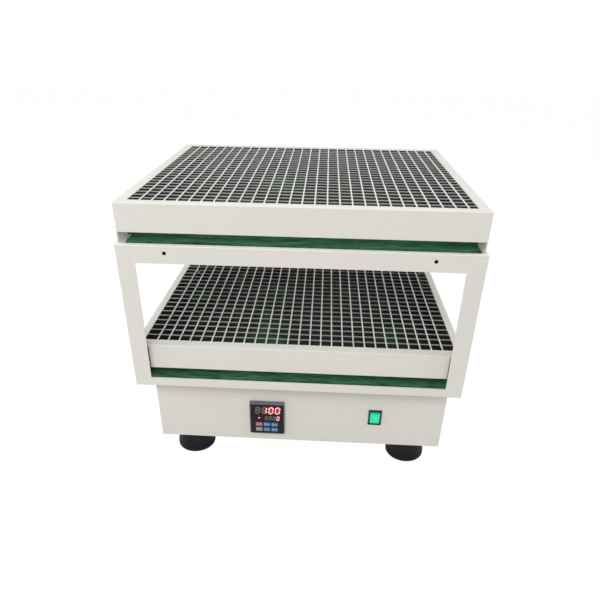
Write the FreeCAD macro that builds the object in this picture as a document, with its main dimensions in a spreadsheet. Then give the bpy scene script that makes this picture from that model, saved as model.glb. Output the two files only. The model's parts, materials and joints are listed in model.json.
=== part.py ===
import FreeCAD, Part
import os
import re
import Sketcher

# Double-deck orbital shaker: a sheet-metal base on rubber feet, and above it a cage with two decks that
# circles on a crank without turning. X runs to the right, Y to the back and Z up. The origin is on the
# floor, under the centre of the cage at rest.

# Driving sizes in millimetres, degrees and counts
SIZES = {
    # stack of heights, from the floor up
    "foot_height": 48.0,
    "base_height": 132.0,
    "platform_gap": 9.0,
    "lower_rail_height": 16.5,
    "deck_spacing": 258.5,
    "upper_rail_height": 31.0,
    "tray_height": 66.5,
    "apron_height": 48.5,
    # cage of folded sheet
    "cage_width": 604.0,
    "cage_depth": 534.0,
    "post_width": 31.0,
    "post_depth": 30.0,
    "cage_sheet": 1.5,
    "cage_bend": 2.0,
    "rail_hole_spacing": 440.0,
    "rail_hole_diameter": 6.5,
    "rail_hole_drop": 13.0,
    "stiffener_hub_gap": 12.0,
    "stiffener_cup_gap": 20.0,
    "stiffener_rise": 2.0,
    # trays, wire mesh and mats
    "tray_inset_side": 4.0,
    "tray_inset_end": 9.5,
    "tray_sheet": 1.5,
    "tray_bend": 2.0,
    "upper_flange_side": 18.0,
    "upper_flange_end": 18.0,
    "lower_flange_side": 14.0,
    "lower_flange_end": 20.0,
    "apron_behind_post": 1.5,
    "apron_relief_drop": 4.0,
    "mesh_pitch": 20.0,
    "wire_diameter": 2.5,
    "wire_lap": 4.0,
    "wire_gap": 0.05,
    "upper_mesh_right": 3.0,
    "upper_mesh_forward": 3.0,
    "lower_mesh_right": 1.0,
    "lower_mesh_forward": -3.0,
    "mat_inset_side": 10.0,
    "mat_inset_end": 2.5,
    "mat_thickness": 3.0,
    "upper_mat_right": 3.0,
    "upper_mat_forward": 0.0,
    "lower_mat_right": 1.0,
    "lower_mat_forward": 5.5,
    # base casing
    "base_inset_side": 21.0,
    "base_inset_end": 21.0,
    "base_sheet": 1.5,
    "base_bend": 2.5,
    "crank_hole_margin": 8.0,
    "floor_sheet": 2.0,
    "panel_clearance": 0.3,
    "foot_diameter": 77.0,
    "foot_tip_diameter": 71.0,
    "foot_edge_radius": 9.0,
    "foot_inset_side": 60.0,
    "foot_inset_end": 42.0,
    "foot_recess_diameter": 26.0,
    "foot_recess_depth": 14.0,
    "foot_bolt_diameter": 8.0,
    "foot_bolt_head": 14.0,
    "foot_bolt_head_height": 6.0,
    "foot_nut_height": 6.5,
    "foot_bolt_end": 16.0,
    "foot_taper_height": 20.0,
    # orbit drive
    "orbit_radius": 10.0,
    "crank_angle": 240.0,
    "running_clearance": 0.05,
    "shaft_diameter": 25.0,
    "shaft_bearing_outside": 52.0,
    "shaft_bearing_width": 15.0,
    "housing_diameter": 72.0,
    "housing_flange_diameter": 130.0,
    "housing_flange_height": 10.0,
    "housing_lip": 5.0,
    "housing_foot_chamfer": 6.0,
    "bearing_recess": 2.0,
    "shaft_end_gap": 1.0,
    "crank_web_diameter": 64.0,
    "crank_web_height": 10.0,
    "web_clearance": 4.0,
    "pin_diameter": 20.0,
    "pin_bearing_outside": 47.0,
    "pin_bearing_width": 12.0,
    "hub_diameter": 62.0,
    "hub_flange_diameter": 96.0,
    "hub_flange_height": 4.0,
    "hub_clearance": 3.0,
    "cup_lip": 4.0,
    "pulley_diameter": 190.0,
    "pulley_width": 20.0,
    "pulley_rim": 16.0,
    "pulley_web": 7.0,
    "pulley_hub_diameter": 50.0,
    "pulley_gap": 5.0,
    "groove_width": 11.0,
    "groove_bottom_width": 7.0,
    "groove_depth": 8.0,
    "belt_height": 6.0,
    "belt_clearance": 0.3,
    "counterweight_radius": 88.0,
    "counterweight_height": 14.0,
    "counterweight_clearance": 9.5,
    "counterweight_angle": 150.0,
    "motor_distance": 168.0,
    "motor_diameter": 112.0,
    "motor_pulley_gap": 5.0,
    "motor_plate_size": 130.0,
    "motor_plate_height": 4.0,
    "motor_shaft_diameter": 12.0,
    "motor_boss_wall": 9.0,
    "motor_boss_height": 4.0,
    "motor_shoulder": 5.0,
    "motor_foot_chamfer": 3.0,
    "motor_bore_depth": 20.0,
    "motor_plate_corner": 8.0,
    "motor_pulley_diameter": 52.0,
    # corner cranks that carry the cage
    "idler_inset_side": 91.0,
    "idler_inset_end": 96.0,
    "idler_pillar_diameter": 44.0,
    "idler_flange_diameter": 84.0,
    "idler_flange_height": 8.0,
    "idler_shaft_diameter": 15.0,
    "idler_shaft_length": 62.0,
    "idler_bore_margin": 2.0,
    "idler_web_gap": 1.0,
    "idler_bearing_outside": 32.0,
    "idler_bearing_width": 9.0,
    "idler_web_diameter": 44.0,
    "idler_web_height": 8.0,
    "idler_pin_diameter": 12.0,
    "idler_cup_diameter": 42.0,
    "idler_cup_flange": 60.0,
    # front panel
    "controller_width": 68.0,
    "controller_height": 76.0,
    "controller_depth": 80.0,
    "controller_left": 97.8,
    "controller_rise": 18.0,
    "controller_bezel": 5.0,
    "controller_body_inset": 2.5,
    "controller_corner": 1.5,
    "controller_edge": 0.8,
    "key_width": 13.0,
    "key_height": 8.8,
    "key_pitch_across": 15.4,
    "key_pitch_down": 12.6,
    "keys_shift_left": 0.6,
    "key_corner": 1.0,
    "key_clearance": 0.35,
    "key_travel": 0.8,
    "key_proud": 1.0,
    "switch_width": 25.5,
    "switch_height": 34.5,
    "switch_right": 147.8,
    "switch_rise": 49.0,
    "switch_bezel": 2.5,
    "switch_body_depth": 26.0,
    "switch_lip": 3.4,
    "switch_well": 16.0,
    "switch_edge": 1.0,
    "rocker_edge": 0.6,
    "rocker_valley": 1.6,
    "rocker_crown": 1.2,
    "rocker_root_depth": 5.0,
    "rocker_root_width": 8.0,
    "rocker_clearance": 0.4,
    "rocker_tilt": 9.0,
    "rocker_pivot_depth": 4.0,
    "controller_wall": 2.0,
    "display_width": 58.0,
    "display_height": 36.5,
    "display_rise": 9.25,
    "display_depth": 2.0,
    "display_border": 2.5,
    "board_thickness": 1.6,
    "keys_drop": 21.0,
    # rear panel and its fittings
    "rear_flange": 16.0,
    "vent_width": 90.0,
    "vent_height": 4.0,
    "vent_pitch": 10.0,
    "vent_gap": 14.0,
    "inlet_width": 48.0,
    "inlet_height": 28.0,
    "inlet_left": 190.0,
    "inlet_rise": 34.0,
    "inlet_barrel_width": 27.2,
    "inlet_barrel_height": 20.2,
    "inlet_flange": 3.0,
    "inlet_barrel_depth": 24.0,
    "inlet_wall": 2.0,
    "inlet_well_depth": 20.0,
    "inlet_pin_length": 12.0,
    "inlet_pin_width": 2.0,
    "inlet_pin_height": 4.0,
    "inlet_pin_spacing": 7.0,
    "fuse_offset": 52.0,
    "fuse_diameter": 12.0,
    "fuse_cap_height": 10.0,
    "fuse_body_depth": 30.0,
    "fuse_flange": 2.5,
    "panel_screw_inset": 9.0,
    "panel_screw_diameter": 4.0,
    "panel_screw_length": 8.0,
    "panel_screw_head": 7.5,
    "panel_screw_head_height": 2.2,
    # transformer and drive board
    "electronics_inset": 161.0,
    "transformer_forward": 60.0,
    "core_width": 70.0,
    "core_depth": 58.0,
    "core_height": 52.0,
    "coil_width": 50.0,
    "coil_depth": 82.0,
    "coil_height": 36.0,
    "drive_board_backward": 50.0,
    "drive_board_width": 110.0,
    "drive_board_depth": 130.0,
    "drive_board_rise": 10.0,
    "board_post_diameter": 8.0,
    "board_post_inset": 7.0,
    "heat_sink_backward": 90.0,
    "heat_sink_width": 60.0,
    "heat_sink_depth": 18.0,
    "heat_sink_height": 34.0,
}

# Sizes that follow from the driving ones
DERIVED = {
    "tray_width": "cage_width - 2 * tray_inset_side",
    "tray_depth": "cage_depth - 2 * tray_inset_end",
    "mat_width": "tray_width - 2 * mat_inset_side",
    "mat_depth": "tray_depth - 2 * mat_inset_end",
    "base_width": "cage_width - 2 * base_inset_side",
    "base_depth": "cage_depth - 2 * base_inset_end",
    "idler_span_width": "base_width - 2 * idler_inset_side",
    "idler_span_depth": "base_depth - 2 * idler_inset_end",
    "electronics_x": "base_width / 2 - electronics_inset",
    "stiffener_inner": "hub_flange_diameter / 2 + stiffener_hub_gap",
    "stiffener_outer": "idler_span_depth / 2 - idler_cup_flange / 2 - stiffener_cup_gap",
    "stiffener_width": "stiffener_outer - stiffener_inner",
    "stiffener_spacing": "stiffener_outer + stiffener_inner",
    "base_x": "-orbit_radius * cos(crank_angle * 1deg)",
    "base_y": "-orbit_radius * sin(crank_angle * 1deg)",
    "floor_top": "foot_height + floor_sheet",
    "base_top": "foot_height + base_height",
    "base_ceiling": "base_top - base_sheet",
    "cage_bottom": "base_top + platform_gap",
    "lower_deck": "cage_bottom + lower_rail_height",
    "upper_deck": "lower_deck + deck_spacing",
    "deck_underside": "lower_deck - cage_sheet",
    "cage_height": "deck_spacing + lower_rail_height",
    "window_width": "cage_width - 2 * post_width",
    "window_height": "deck_spacing - upper_rail_height",
    "deck_span": "cage_depth - 2 * post_depth",
    "upper_opening_width": "tray_width - 2 * upper_flange_side",
    "upper_opening_depth": "tray_depth - 2 * upper_flange_end",
    "lower_opening_width": "tray_width - 2 * lower_flange_side",
    "lower_opening_depth": "tray_depth - 2 * lower_flange_end",
    "groove_bottom": "pulley_diameter / 2 - groove_depth",
    "motor_groove_bottom": "motor_pulley_diameter / 2 - groove_depth",
    "web_top": "base_ceiling - web_clearance",
    "web_bottom": "web_top - crank_web_height",
    "pulley_top": "web_bottom - counterweight_clearance - counterweight_height",
    "pulley_bottom": "pulley_top - pulley_width",
    "housing_top": "pulley_bottom - pulley_gap",
    "housing_height": "housing_top - floor_top",
    "hub_bottom": "base_top + hub_clearance",
    "hub_height": "deck_underside - hub_bottom",
    "pin_top": "deck_underside - web_clearance / 2",
    "idler_web_bottom": "web_top - idler_web_height",
    "pillar_top": "idler_web_bottom - idler_web_gap",
    "motor_top": "pulley_bottom - motor_pulley_gap",
    "motor_height": "motor_top - floor_top - motor_plate_height",
    "panel_front": "base_y - base_depth / 2",
    "rocker_width": "switch_width - 2 * switch_lip",
    "rocker_height": "switch_height - 2 * switch_lip - 3",
    "rocker_face": "rocker_pivot_depth + switch_bezel + rocker_crown",
    "rocker_sweep": "rocker_height * cos(rocker_tilt * 1deg) + 2 * rocker_face * sin(rocker_tilt * 1deg)",
    "motor_x": "base_x - motor_distance",
    "controller_centre_x": "controller_width / 2 - controller_left",
    "controller_x": "base_x + controller_centre_x",
    "controller_z": "foot_height + controller_rise + controller_height / 2",
    "board_front": "key_travel + 2",
    "switch_x": "base_x + switch_right",
    "switch_z": "foot_height + switch_rise + switch_height / 2",
    "rear_face": "base_y + base_depth / 2",
    "inlet_z": "foot_height + inlet_rise",
    "screw_x": "base_width / 2 - panel_screw_inset",
}

PARTS_FOLDER = "parts"

document = FreeCAD.newDocument("OrbitalShaker")
sheet = document.addObject("Spreadsheet::Sheet", "Sizes")
for row_number, (alias, size) in enumerate(SIZES.items(), start=1):
    sheet.set(f"A{row_number}", alias)
    sheet.set(f"B{row_number}", str(size))
    sheet.setAlias(f"B{row_number}", alias)
document.recompute()

sub_parts = []


# Formulas: a text with the names above becomes an expression on the sheet
def formula(text):
    def expand(match):
        name = match.group(0)
        if name in SIZES:
            return f"Sizes.{name}"
        if name in DERIVED:
            return f"({formula(DERIVED[name])})"
        return name
    return re.sub(r"[a-z][a-z_]+", expand, str(text))


def value(text):
    result = sheet.evalExpression(formula(text))
    return float(result.Value if hasattr(result, "Value") else result)


def bind(item, target, text):
    item.setExpression(target, formula(text))


def place(item, x="0", y="0", z="0", turn=None, axis=(0, 0, 1)):
    if turn is not None:
        rotation = FreeCAD.Rotation(FreeCAD.Vector(*axis), turn)
        item.Placement = FreeCAD.Placement(FreeCAD.Vector(), rotation)
    for letter, text in zip("xyz", (x, y, z)):
        if text != "0":
            bind(item, f".Placement.Base.{letter}", text)
    return item


def keep(item, label):
    item.Label = label
    sub_parts.append(item)
    return item


# Sketches: every point is tied to the sketch origin by a formula
def new_body(label):
    return keep(document.addObject("PartDesign::Body", label), label)


def new_sketch(body, plane, offset="0"):
    sketch = body.newObject("Sketcher::SketchObject", "Sketch")
    support = next(item for item in body.Origin.OriginFeatures if item.Role == plane)
    sketch.AttachmentSupport = [(support, "")]
    sketch.MapMode = "FlatFace"
    if offset != "0":
        sign = "-1 * " if plane == "XZ_Plane" else ""
        bind(sketch, ".AttachmentOffset.Base.z", f"{sign}({offset})")
    return sketch


def tie(sketch, geometry, position, x, y):
    for kind, axis, text in (("DistanceX", -2, x), ("DistanceY", -1, y)):
        if text == "0":
            sketch.addConstraint(Sketcher.Constraint("PointOnObject", geometry, position, axis))
            continue
        number = sketch.addConstraint(Sketcher.Constraint(kind, -1, 1, geometry, position, value(text)))
        name = f"{kind}{geometry}p{position}"
        sketch.renameConstraint(number, name)
        bind(sketch, f"Constraints.{name}", text)


def polygon(sketch, points):
    first = sketch.GeometryCount
    corners = [FreeCAD.Vector(value(x), value(y), 0) for x, y in points]
    count = len(points)
    for number in range(count):
        sketch.addGeometry(Part.LineSegment(corners[number], corners[(number + 1) % count]))
    for number in range(count):
        following = first + (number + 1) % count
        sketch.addConstraint(Sketcher.Constraint("Coincident", first + number, 2, following, 1))
    for number, (x, y) in enumerate(points):
        tie(sketch, first + number, 1, x, y)


def rectangle(sketch, left, right, bottom, top):
    polygon(sketch, [(left, bottom), (right, bottom), (right, top), (left, top)])


def centred_rectangle(sketch, width, height, x="0", y="0"):
    rectangle(sketch, f"({x}) - ({width}) / 2", f"({x}) + ({width}) / 2",
              f"({y}) - ({height}) / 2", f"({y}) + ({height}) / 2")


def circle(sketch, diameter, x="0", y="0"):
    centre = FreeCAD.Vector(value(x), value(y), 0)
    number = sketch.addGeometry(Part.Circle(centre, FreeCAD.Vector(0, 0, 1), value(diameter) / 2))
    tie(sketch, number, 3, x, y)
    size = sketch.addConstraint(Sketcher.Constraint("Diameter", number, value(diameter)))
    sketch.renameConstraint(size, f"Diameter{number}")
    bind(sketch, f"Constraints.Diameter{number}", diameter)


# Features
def pad(body, sketch, length, symmetric=False, reverse=False):
    feature = body.newObject("PartDesign::Pad", "Pad")
    feature.Profile = sketch
    feature.SideType = "Symmetric" if symmetric else "One side"
    feature.Reversed = reverse
    bind(feature, "Length", length)
    document.recompute()
    return feature


def pocket(body, sketch, length, symmetric=False, reverse=False):
    before = body.Shape.Volume
    feature = body.newObject("PartDesign::Pocket", "Pocket")
    feature.Profile = sketch
    feature.SideType = "Symmetric" if symmetric else "One side"
    feature.Reversed = reverse
    bind(feature, "Length", length)
    document.recompute()
    if body.Shape.Volume >= before:
        raise ValueError(f"{body.Label}: a pocket cuts nothing")
    return feature


def revolve(body, points):
    sketch = new_sketch(body, "XZ_Plane")
    polygon(sketch, points)
    feature = body.newObject("PartDesign::Revolution", "Revolution")
    feature.Profile = sketch
    feature.ReferenceAxis = (sketch, ["V_Axis"])
    feature.Angle = 360
    document.recompute()
    return feature


def round_edges(body, radius, wanted):
    tip = body.Tip
    names = [f"Edge{number}" for number, edge in enumerate(tip.Shape.Edges, start=1) if wanted(edge)]
    if not names:
        raise ValueError(f"{body.Label}: no edge to round")
    feature = body.newObject("PartDesign::Fillet", "Fillet")
    feature.Base = (tip, names)
    bind(feature, "Radius", radius)
    document.recompute()
    return feature


# Primitives that are joined or grouped into one sub-part
def cylinder(diameter, height, x="0", y="0", z="0", axis="z"):
    item = document.addObject("Part::Cylinder", "Cylinder")
    bind(item, "Radius", f"({diameter}) / 2")
    bind(item, "Height", height)
    turns = {"z": (None, (0, 0, 1)), "x": (90, (0, 1, 0)), "y": (-90, (1, 0, 0))}
    turn, about = turns[axis]
    return place(item, x, y, z, turn, about)


def block(length, width, height, x="0", y="0", z="0"):
    """A box that is centred on x and y and stands on z."""
    item = document.addObject("Part::Box", "Box")
    bind(item, "Length", length)
    bind(item, "Width", width)
    bind(item, "Height", height)
    return place(item, f"({x}) - ({length}) / 2", f"({y}) - ({width}) / 2", z)


def group(label, items):
    compound = document.addObject("Part::Compound", label)
    compound.Links = items
    return keep(compound, label)


def fused(items):
    item = document.addObject("Part::MultiFuse", "Fusion")
    item.Shapes = items
    return item


def cut(base, tool):
    item = document.addObject("Part::Cut", "Cut")
    item.Base = base
    item.Tool = tool
    return item


def is_vertical(edge):
    ends = [vertex.Point for vertex in edge.Vertexes]
    return len(ends) == 2 and abs(ends[0].x - ends[1].x) < 1e-6 and abs(ends[0].y - ends[1].y) < 1e-6


def touches(edge, **limits):
    """True where the whole edge lies in the planes that are named, as x=, y= or z=."""
    box = edge.BoundBox
    spans = {"x": (box.XMin, box.XMax), "y": (box.YMin, box.YMax), "z": (box.ZMin, box.ZMax)}
    return all(abs(spans[letter][0] - level) < 1e-4 and abs(spans[letter][1] - level) < 1e-4
               for letter, level in limits.items())


# Cage: two folded window frames, with the deck plates between them
def window_frame(label, turn):
    """A sheet folded back round its outside, with a window between two folded shelves."""
    body = new_body(label)
    back = "-deck_span / 2"
    outline = new_sketch(body, "XZ_Plane", back)
    rectangle(outline, "-cage_width / 2", "cage_width / 2", "0", "cage_height")
    rectangle(outline, "-window_width / 2", "window_width / 2", "lower_rail_height",
              "lower_rail_height + window_height")
    pad(body, outline, "post_depth")
    half, depth = value("cage_width / 2"), value("-cage_depth / 2")
    top = value("cage_height")
    round_edges(body, "cage_bend", lambda edge: touches(edge, x=half, y=depth)
                or touches(edge, x=-half, y=depth) or touches(edge, z=top, y=depth)
                or touches(edge, z=0, y=depth))
    hollow = new_sketch(body, "XZ_Plane", back)
    inset = "cage_sheet"
    rectangle(hollow, f"-cage_width / 2 + {inset}", f"cage_width / 2 - {inset}",
              inset, f"cage_height - {inset}")
    rectangle(hollow, "-window_width / 2", "window_width / 2", f"lower_rail_height - {inset}",
              f"lower_rail_height + window_height + {inset}")
    pocket(body, hollow, "post_depth - cage_sheet", reverse=True)
    holes = new_sketch(body, "XZ_Plane", "-cage_depth / 2")
    for side in ("-", ""):
        circle(holes, "rail_hole_diameter", f"{side}rail_hole_spacing / 2", "cage_height - rail_hole_drop")
    pocket(body, holes, "cage_sheet * 2", symmetric=True)
    return place(body, z="cage_bottom", turn=turn)


def deck_plate(label, level, rail_height):
    """A plate whose two sides are folded down as the side rails."""
    body = new_body(label)
    section = new_sketch(body, "XZ_Plane")
    half, wall = "cage_width / 2", "cage_sheet"
    polygon(section, [(f"-{half}", f"-{rail_height}"), (f"-{half} + {wall}", f"-{rail_height}"),
                      (f"-{half} + {wall}", f"-{wall}"), (f"{half} - {wall}", f"-{wall}"),
                      (f"{half} - {wall}", f"-{rail_height}"), (half, f"-{rail_height}"),
                      (half, "0"), (f"-{half}", "0")])
    pad(body, section, "deck_span", symmetric=True)
    edge_x = value(half)
    round_edges(body, "cage_bend * 0.7", lambda edge: touches(edge, x=edge_x, z=0)
                or touches(edge, x=-edge_x, z=0))
    return place(body, z=level)


def deck_stiffeners():
    """Two channels under the lower deck, between the drive hub and the corner bearing cups."""
    channels = []
    depth = "lower_rail_height - cage_sheet - stiffener_rise"
    for side in ("-", ""):
        channel = cut(block("cage_width - 2 * cage_sheet - 2 * panel_clearance", "stiffener_width", depth),
                      block("cage_width", "stiffener_width - 2 * cage_sheet", depth, z="-cage_sheet"))
        channels.append(place(channel, y=f"{side}stiffener_spacing / 2", z="cage_bottom + stiffener_rise"))
    return group("deck_stiffeners", channels)


# Trays: a folded rim with an inward flange, standing on its walls
def tray(name, is_between_posts):
    """The front wall stops short of the deck, for the mat, and between posts it ends just behind them."""
    body = new_body(f"{name}_tray")
    wall = "tray_sheet"
    outline = new_sketch(body, "XY_Plane")
    centred_rectangle(outline, "tray_width", "tray_depth")
    pad(body, outline, "tray_height")
    top = value("tray_height")
    limit_x, limit_y = value("tray_width / 2"), value("tray_depth / 2")
    round_edges(body, "tray_bend", lambda edge: touches(edge, z=top)
                and (touches(edge, x=limit_x) or touches(edge, x=-limit_x)
                     or touches(edge, y=limit_y) or touches(edge, y=-limit_y)))
    inside = new_sketch(body, "XY_Plane")
    centred_rectangle(inside, f"tray_width - 2 * {wall}", f"tray_depth - 2 * {wall}")
    pocket(body, inside, f"tray_height - {wall}", reverse=True)
    opening = new_sketch(body, "XY_Plane", "tray_height")
    centred_rectangle(opening, f"{name}_opening_width", f"{name}_opening_depth")
    pocket(body, opening, f"{wall} * 2", symmetric=True)
    slot = new_sketch(body, "XZ_Plane", "-tray_depth / 2")
    side, slot_top = f"(tray_width / 2 - {wall})", "tray_height - apron_height"
    if is_between_posts:
        end, relief_top = "(window_width / 2 + apron_behind_post)", "tray_height - apron_relief_drop"
        polygon(slot, [(f"-{side}", "-1"), (side, "-1"), (side, relief_top), (end, relief_top),
                       (end, slot_top), (f"-{end}", slot_top), (f"-{end}", relief_top),
                       (f"-{side}", relief_top)])
    else:
        rectangle(slot, f"-{side}", side, "-1", slot_top)
    pocket(body, slot, f"{wall} * 2", symmetric=True)
    return place(body, z=f"{name}_deck")


def wire_mesh(name):
    """Front-to-back wires lap over the flange, and cross wires lie under them, end to end with it."""
    wires = []
    width, depth = f"{name}_opening_width", f"{name}_opening_depth"
    columns = int(value(f"floor({width} / mesh_pitch - 0.5)"))
    rows = int(value(f"floor({depth} / mesh_pitch - 0.5)"))
    top = f"{name}_deck + tray_height"
    for column in range(columns):
        along = f"{name}_mesh_right + ({column} - {columns - 1} / 2) * mesh_pitch"
        wires.append(cylinder("wire_diameter", f"{depth} + 2 * wire_lap", along,
                              f"-{depth} / 2 - wire_lap",
                              f"{top} + wire_diameter / 2 + wire_gap", axis="y"))
    for row in range(rows):
        across = f"({row} - {rows - 1} / 2) * mesh_pitch - {name}_mesh_forward"
        wires.append(cylinder("wire_diameter", f"{width} - 2 * wire_gap",
                              f"-{width} / 2 + wire_gap", across,
                              f"{top} - wire_diameter / 2", axis="x"))
    return group(f"{name}_mesh", wires)


def mat(name):
    body = new_body(f"{name}_mat")
    outline = new_sketch(body, "XY_Plane")
    centred_rectangle(outline, "mat_width", "mat_depth")
    pad(body, outline, "mat_thickness")
    return place(body, f"{name}_mat_right", f"-{name}_mat_forward", f"{name}_deck")


# Base casing
def idler_corners():
    return [(f"{x}idler_span_width / 2", f"{y}idler_span_depth / 2") for y in ("-", "") for x in ("-", "")]


def base_shell():
    """Front, sides and top in one folded sheet, open below, with a flange round its open rear."""
    body = new_body("base_shell")
    outline = new_sketch(body, "XY_Plane")
    centred_rectangle(outline, "base_width", "base_depth")
    pad(body, outline, "base_height")
    half_x, front, top = value("base_width / 2"), value("-base_depth / 2"), value("base_height")
    round_edges(body, "base_bend", lambda edge: touches(edge, x=half_x, y=front)
                or touches(edge, x=-half_x, y=front) or touches(edge, z=top, y=front)
                or touches(edge, z=top, x=half_x) or touches(edge, z=top, x=-half_x))
    inside = new_sketch(body, "XY_Plane")
    rectangle(inside, "-base_width / 2 + base_sheet", "base_width / 2 - base_sheet",
              "-base_depth / 2 + base_sheet", "base_depth / 2 - 2 * base_sheet")
    pocket(body, inside, "base_height - base_sheet", reverse=True)
    rear = new_sketch(body, "XZ_Plane", "base_depth / 2")
    rectangle(rear, "-base_width / 2 + base_sheet", "base_width / 2 - base_sheet",
              "-1", "base_height - base_sheet")
    pocket(body, rear, "base_sheet", reverse=True)
    way_in = new_sketch(body, "XZ_Plane", "base_depth / 2")
    rectangle(way_in, "-base_width / 2 + rear_flange", "base_width / 2 - rear_flange",
              "-1", "base_height - rear_flange")
    for x, z in panel_screw_places():
        circle(way_in, "panel_screw_diameter + 2 * panel_clearance", x, z)
    pocket(body, way_in, "base_sheet * 6", symmetric=True)
    holes = new_sketch(body, "XY_Plane", "base_height")
    circle(holes, "pin_diameter + 2 * orbit_radius + 2 * crank_hole_margin")
    for x, y in idler_corners():
        circle(holes, "idler_pin_diameter + 2 * orbit_radius + crank_hole_margin", x, y)
    pocket(body, holes, "base_sheet * 2", symmetric=True)
    cutouts = new_sketch(body, "XZ_Plane", "-base_depth / 2")
    centred_rectangle(cutouts, "controller_width - 2 * controller_body_inset + 2 * panel_clearance",
                      "controller_height - 2 * controller_body_inset + 2 * panel_clearance",
                      "controller_centre_x", "controller_rise + controller_height / 2")
    centred_rectangle(cutouts, "switch_width - switch_lip", "switch_height - switch_lip",
                      "switch_right", "switch_rise + switch_height / 2")
    pocket(body, cutouts, "base_sheet * 2", symmetric=True)
    return place(body, "base_x", "base_y", "foot_height")


VENT_COLUMNS = 3
VENT_ROWS = 5


def panel_screw_places():
    upper = "base_height - panel_screw_inset"
    return [(x, z) for x in ("-screw_x", "0", "screw_x") for z in ("panel_screw_inset", upper)
            if (x, z) != ("0", "panel_screw_inset")]


def rear_panel():
    """A plate that closes the back, with vent slots, the power inlet and a fuse holder."""
    body = new_body("rear_panel")
    outline = new_sketch(body, "XZ_Plane", "base_depth / 2 - base_sheet")
    half = "base_width / 2 - base_sheet - panel_clearance"
    rectangle(outline, f"-({half})", half, "0", "base_height - base_sheet - panel_clearance")
    pad(body, outline, "base_sheet", reverse=True)
    slots = new_sketch(body, "XZ_Plane", "base_depth / 2")
    for column in range(VENT_COLUMNS):
        for row in range(VENT_ROWS):
            centred_rectangle(slots, "vent_width", "vent_height",
                              f"({column} - {VENT_COLUMNS - 1} / 2 + 0.5) * (vent_width + vent_gap)",
                              f"base_height / 2 + ({row} - {VENT_ROWS - 1} / 2) * vent_pitch")
    centred_rectangle(slots, "inlet_barrel_width + 2 * panel_clearance",
                      "inlet_barrel_height + 2 * panel_clearance", "-inlet_left", "inlet_rise")
    circle(slots, "fuse_diameter + 2 * panel_clearance", "fuse_offset - inlet_left", "inlet_rise")
    for x, z in panel_screw_places():
        circle(slots, "panel_screw_diameter + 2 * panel_clearance", x, z)
    pocket(body, slots, "base_sheet * 4", symmetric=True)
    return place(body, "base_x", "base_y", "foot_height")


def floor_plate():
    body = new_body("floor_plate")
    outline = new_sketch(body, "XY_Plane")
    rectangle(outline, "-(base_width / 2 - base_sheet - panel_clearance)",
              "base_width / 2 - base_sheet - panel_clearance",
              "-(base_depth / 2 - base_sheet - panel_clearance)",
              "base_depth / 2 - 2 * base_sheet - panel_clearance")
    for x, y in foot_places():
        circle(outline, "foot_bolt_diameter + 2 * panel_clearance", x, y)
    pad(body, outline, "floor_sheet")
    return place(body, "base_x", "base_y", "foot_height")


def foot_places():
    across = "(base_width / 2 - foot_inset_side)"
    along = "(base_depth / 2 - foot_inset_end)"
    return [(f"{x}{across}", f"{y}{along}") for y in ("-", "") for x in ("-", "")]


FOOT_NAMES = ("foot_front_left", "foot_front_right", "foot_rear_left", "foot_rear_right")


def foot(label, x, y):
    """A moulded rubber foot with a recess for its bolt and a rounded tread edge."""
    body = new_body(label)
    bore = "foot_bolt_diameter / 2 + panel_clearance"
    revolve(body, [("foot_recess_diameter / 2", "0"), ("foot_tip_diameter / 2", "0"),
                   ("foot_diameter / 2", "foot_taper_height"), ("foot_diameter / 2", "foot_height"),
                   (bore, "foot_height"), (bore, "foot_recess_depth"),
                   ("foot_recess_diameter / 2", "foot_recess_depth")])
    tip = value("foot_tip_diameter / 2")
    round_edges(body, "foot_edge_radius", lambda edge: touches(edge, z=0)
                and abs(edge.Curve.Radius - tip) < 1e-4)
    return place(body, f"base_x + {x}", f"base_y + {y}")


def foot_bolts():
    bolts = []
    for x, y in foot_places():
        place_x, place_y = f"base_x + {x}", f"base_y + {y}"
        bolts.append(fused([
            cylinder("foot_bolt_diameter", "foot_height - foot_recess_depth + foot_bolt_end", place_x,
                     place_y, "foot_recess_depth"),
            cylinder("foot_bolt_head", "foot_bolt_head_height", place_x, place_y,
                     "foot_recess_depth - foot_bolt_head_height"),
            cylinder("foot_bolt_head", "foot_nut_height", place_x, place_y, "floor_top"),
        ]))
    return group("foot_bolts", bolts)


# Orbit drive
def drive_housing():
    body = new_body("drive_housing")
    outer, flange = "housing_diameter / 2", "housing_flange_diameter / 2"
    seat, bore = "shaft_bearing_outside / 2", "shaft_bearing_outside / 2 - housing_lip"
    seat_depth = "(shaft_bearing_width + bearing_recess)"
    chamfer = "housing_foot_chamfer"
    revolve(body, [(seat, "0"), (flange, "0"), (flange, "housing_flange_height"),
                   (f"{outer} + {chamfer}", "housing_flange_height"),
                   (outer, f"housing_flange_height + {chamfer}"),
                   (outer, "housing_height"), (seat, "housing_height"),
                   (seat, f"housing_height - {seat_depth}"), (bore, f"housing_height - {seat_depth}"),
                   (bore, seat_depth), (seat, seat_depth)])
    return place(body, "base_x", "base_y", "floor_top")


def bearing_ring(outside, bore, width, x, y, z):
    """One bearing as a ring whose bore runs free on its shaft."""
    outer = cylinder(outside, width, x, y, z)
    return cut(outer, cylinder(f"{bore} + 2 * running_clearance", width, x, y, z))


def drive_bearings():
    levels = ("floor_top + bearing_recess", "housing_top - shaft_bearing_width - bearing_recess")
    return group("drive_bearings", [bearing_ring("shaft_bearing_outside", "shaft_diameter",
                                                 "shaft_bearing_width", "base_x", "base_y", level)
                                    for level in levels])


def crankshaft():
    """Shaft, web and offset pin, turned and pressed into one piece."""
    parts = [cylinder("shaft_diameter", "web_bottom - floor_top - shaft_end_gap", "base_x", "base_y",
                      "floor_top + shaft_end_gap"),
             cylinder("crank_web_diameter", "crank_web_height", "base_x", "base_y", "web_bottom"),
             cylinder("pin_diameter", "pin_top - web_top", "0", "0", "web_top")]
    return keep(fused(parts), "crankshaft")


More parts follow.
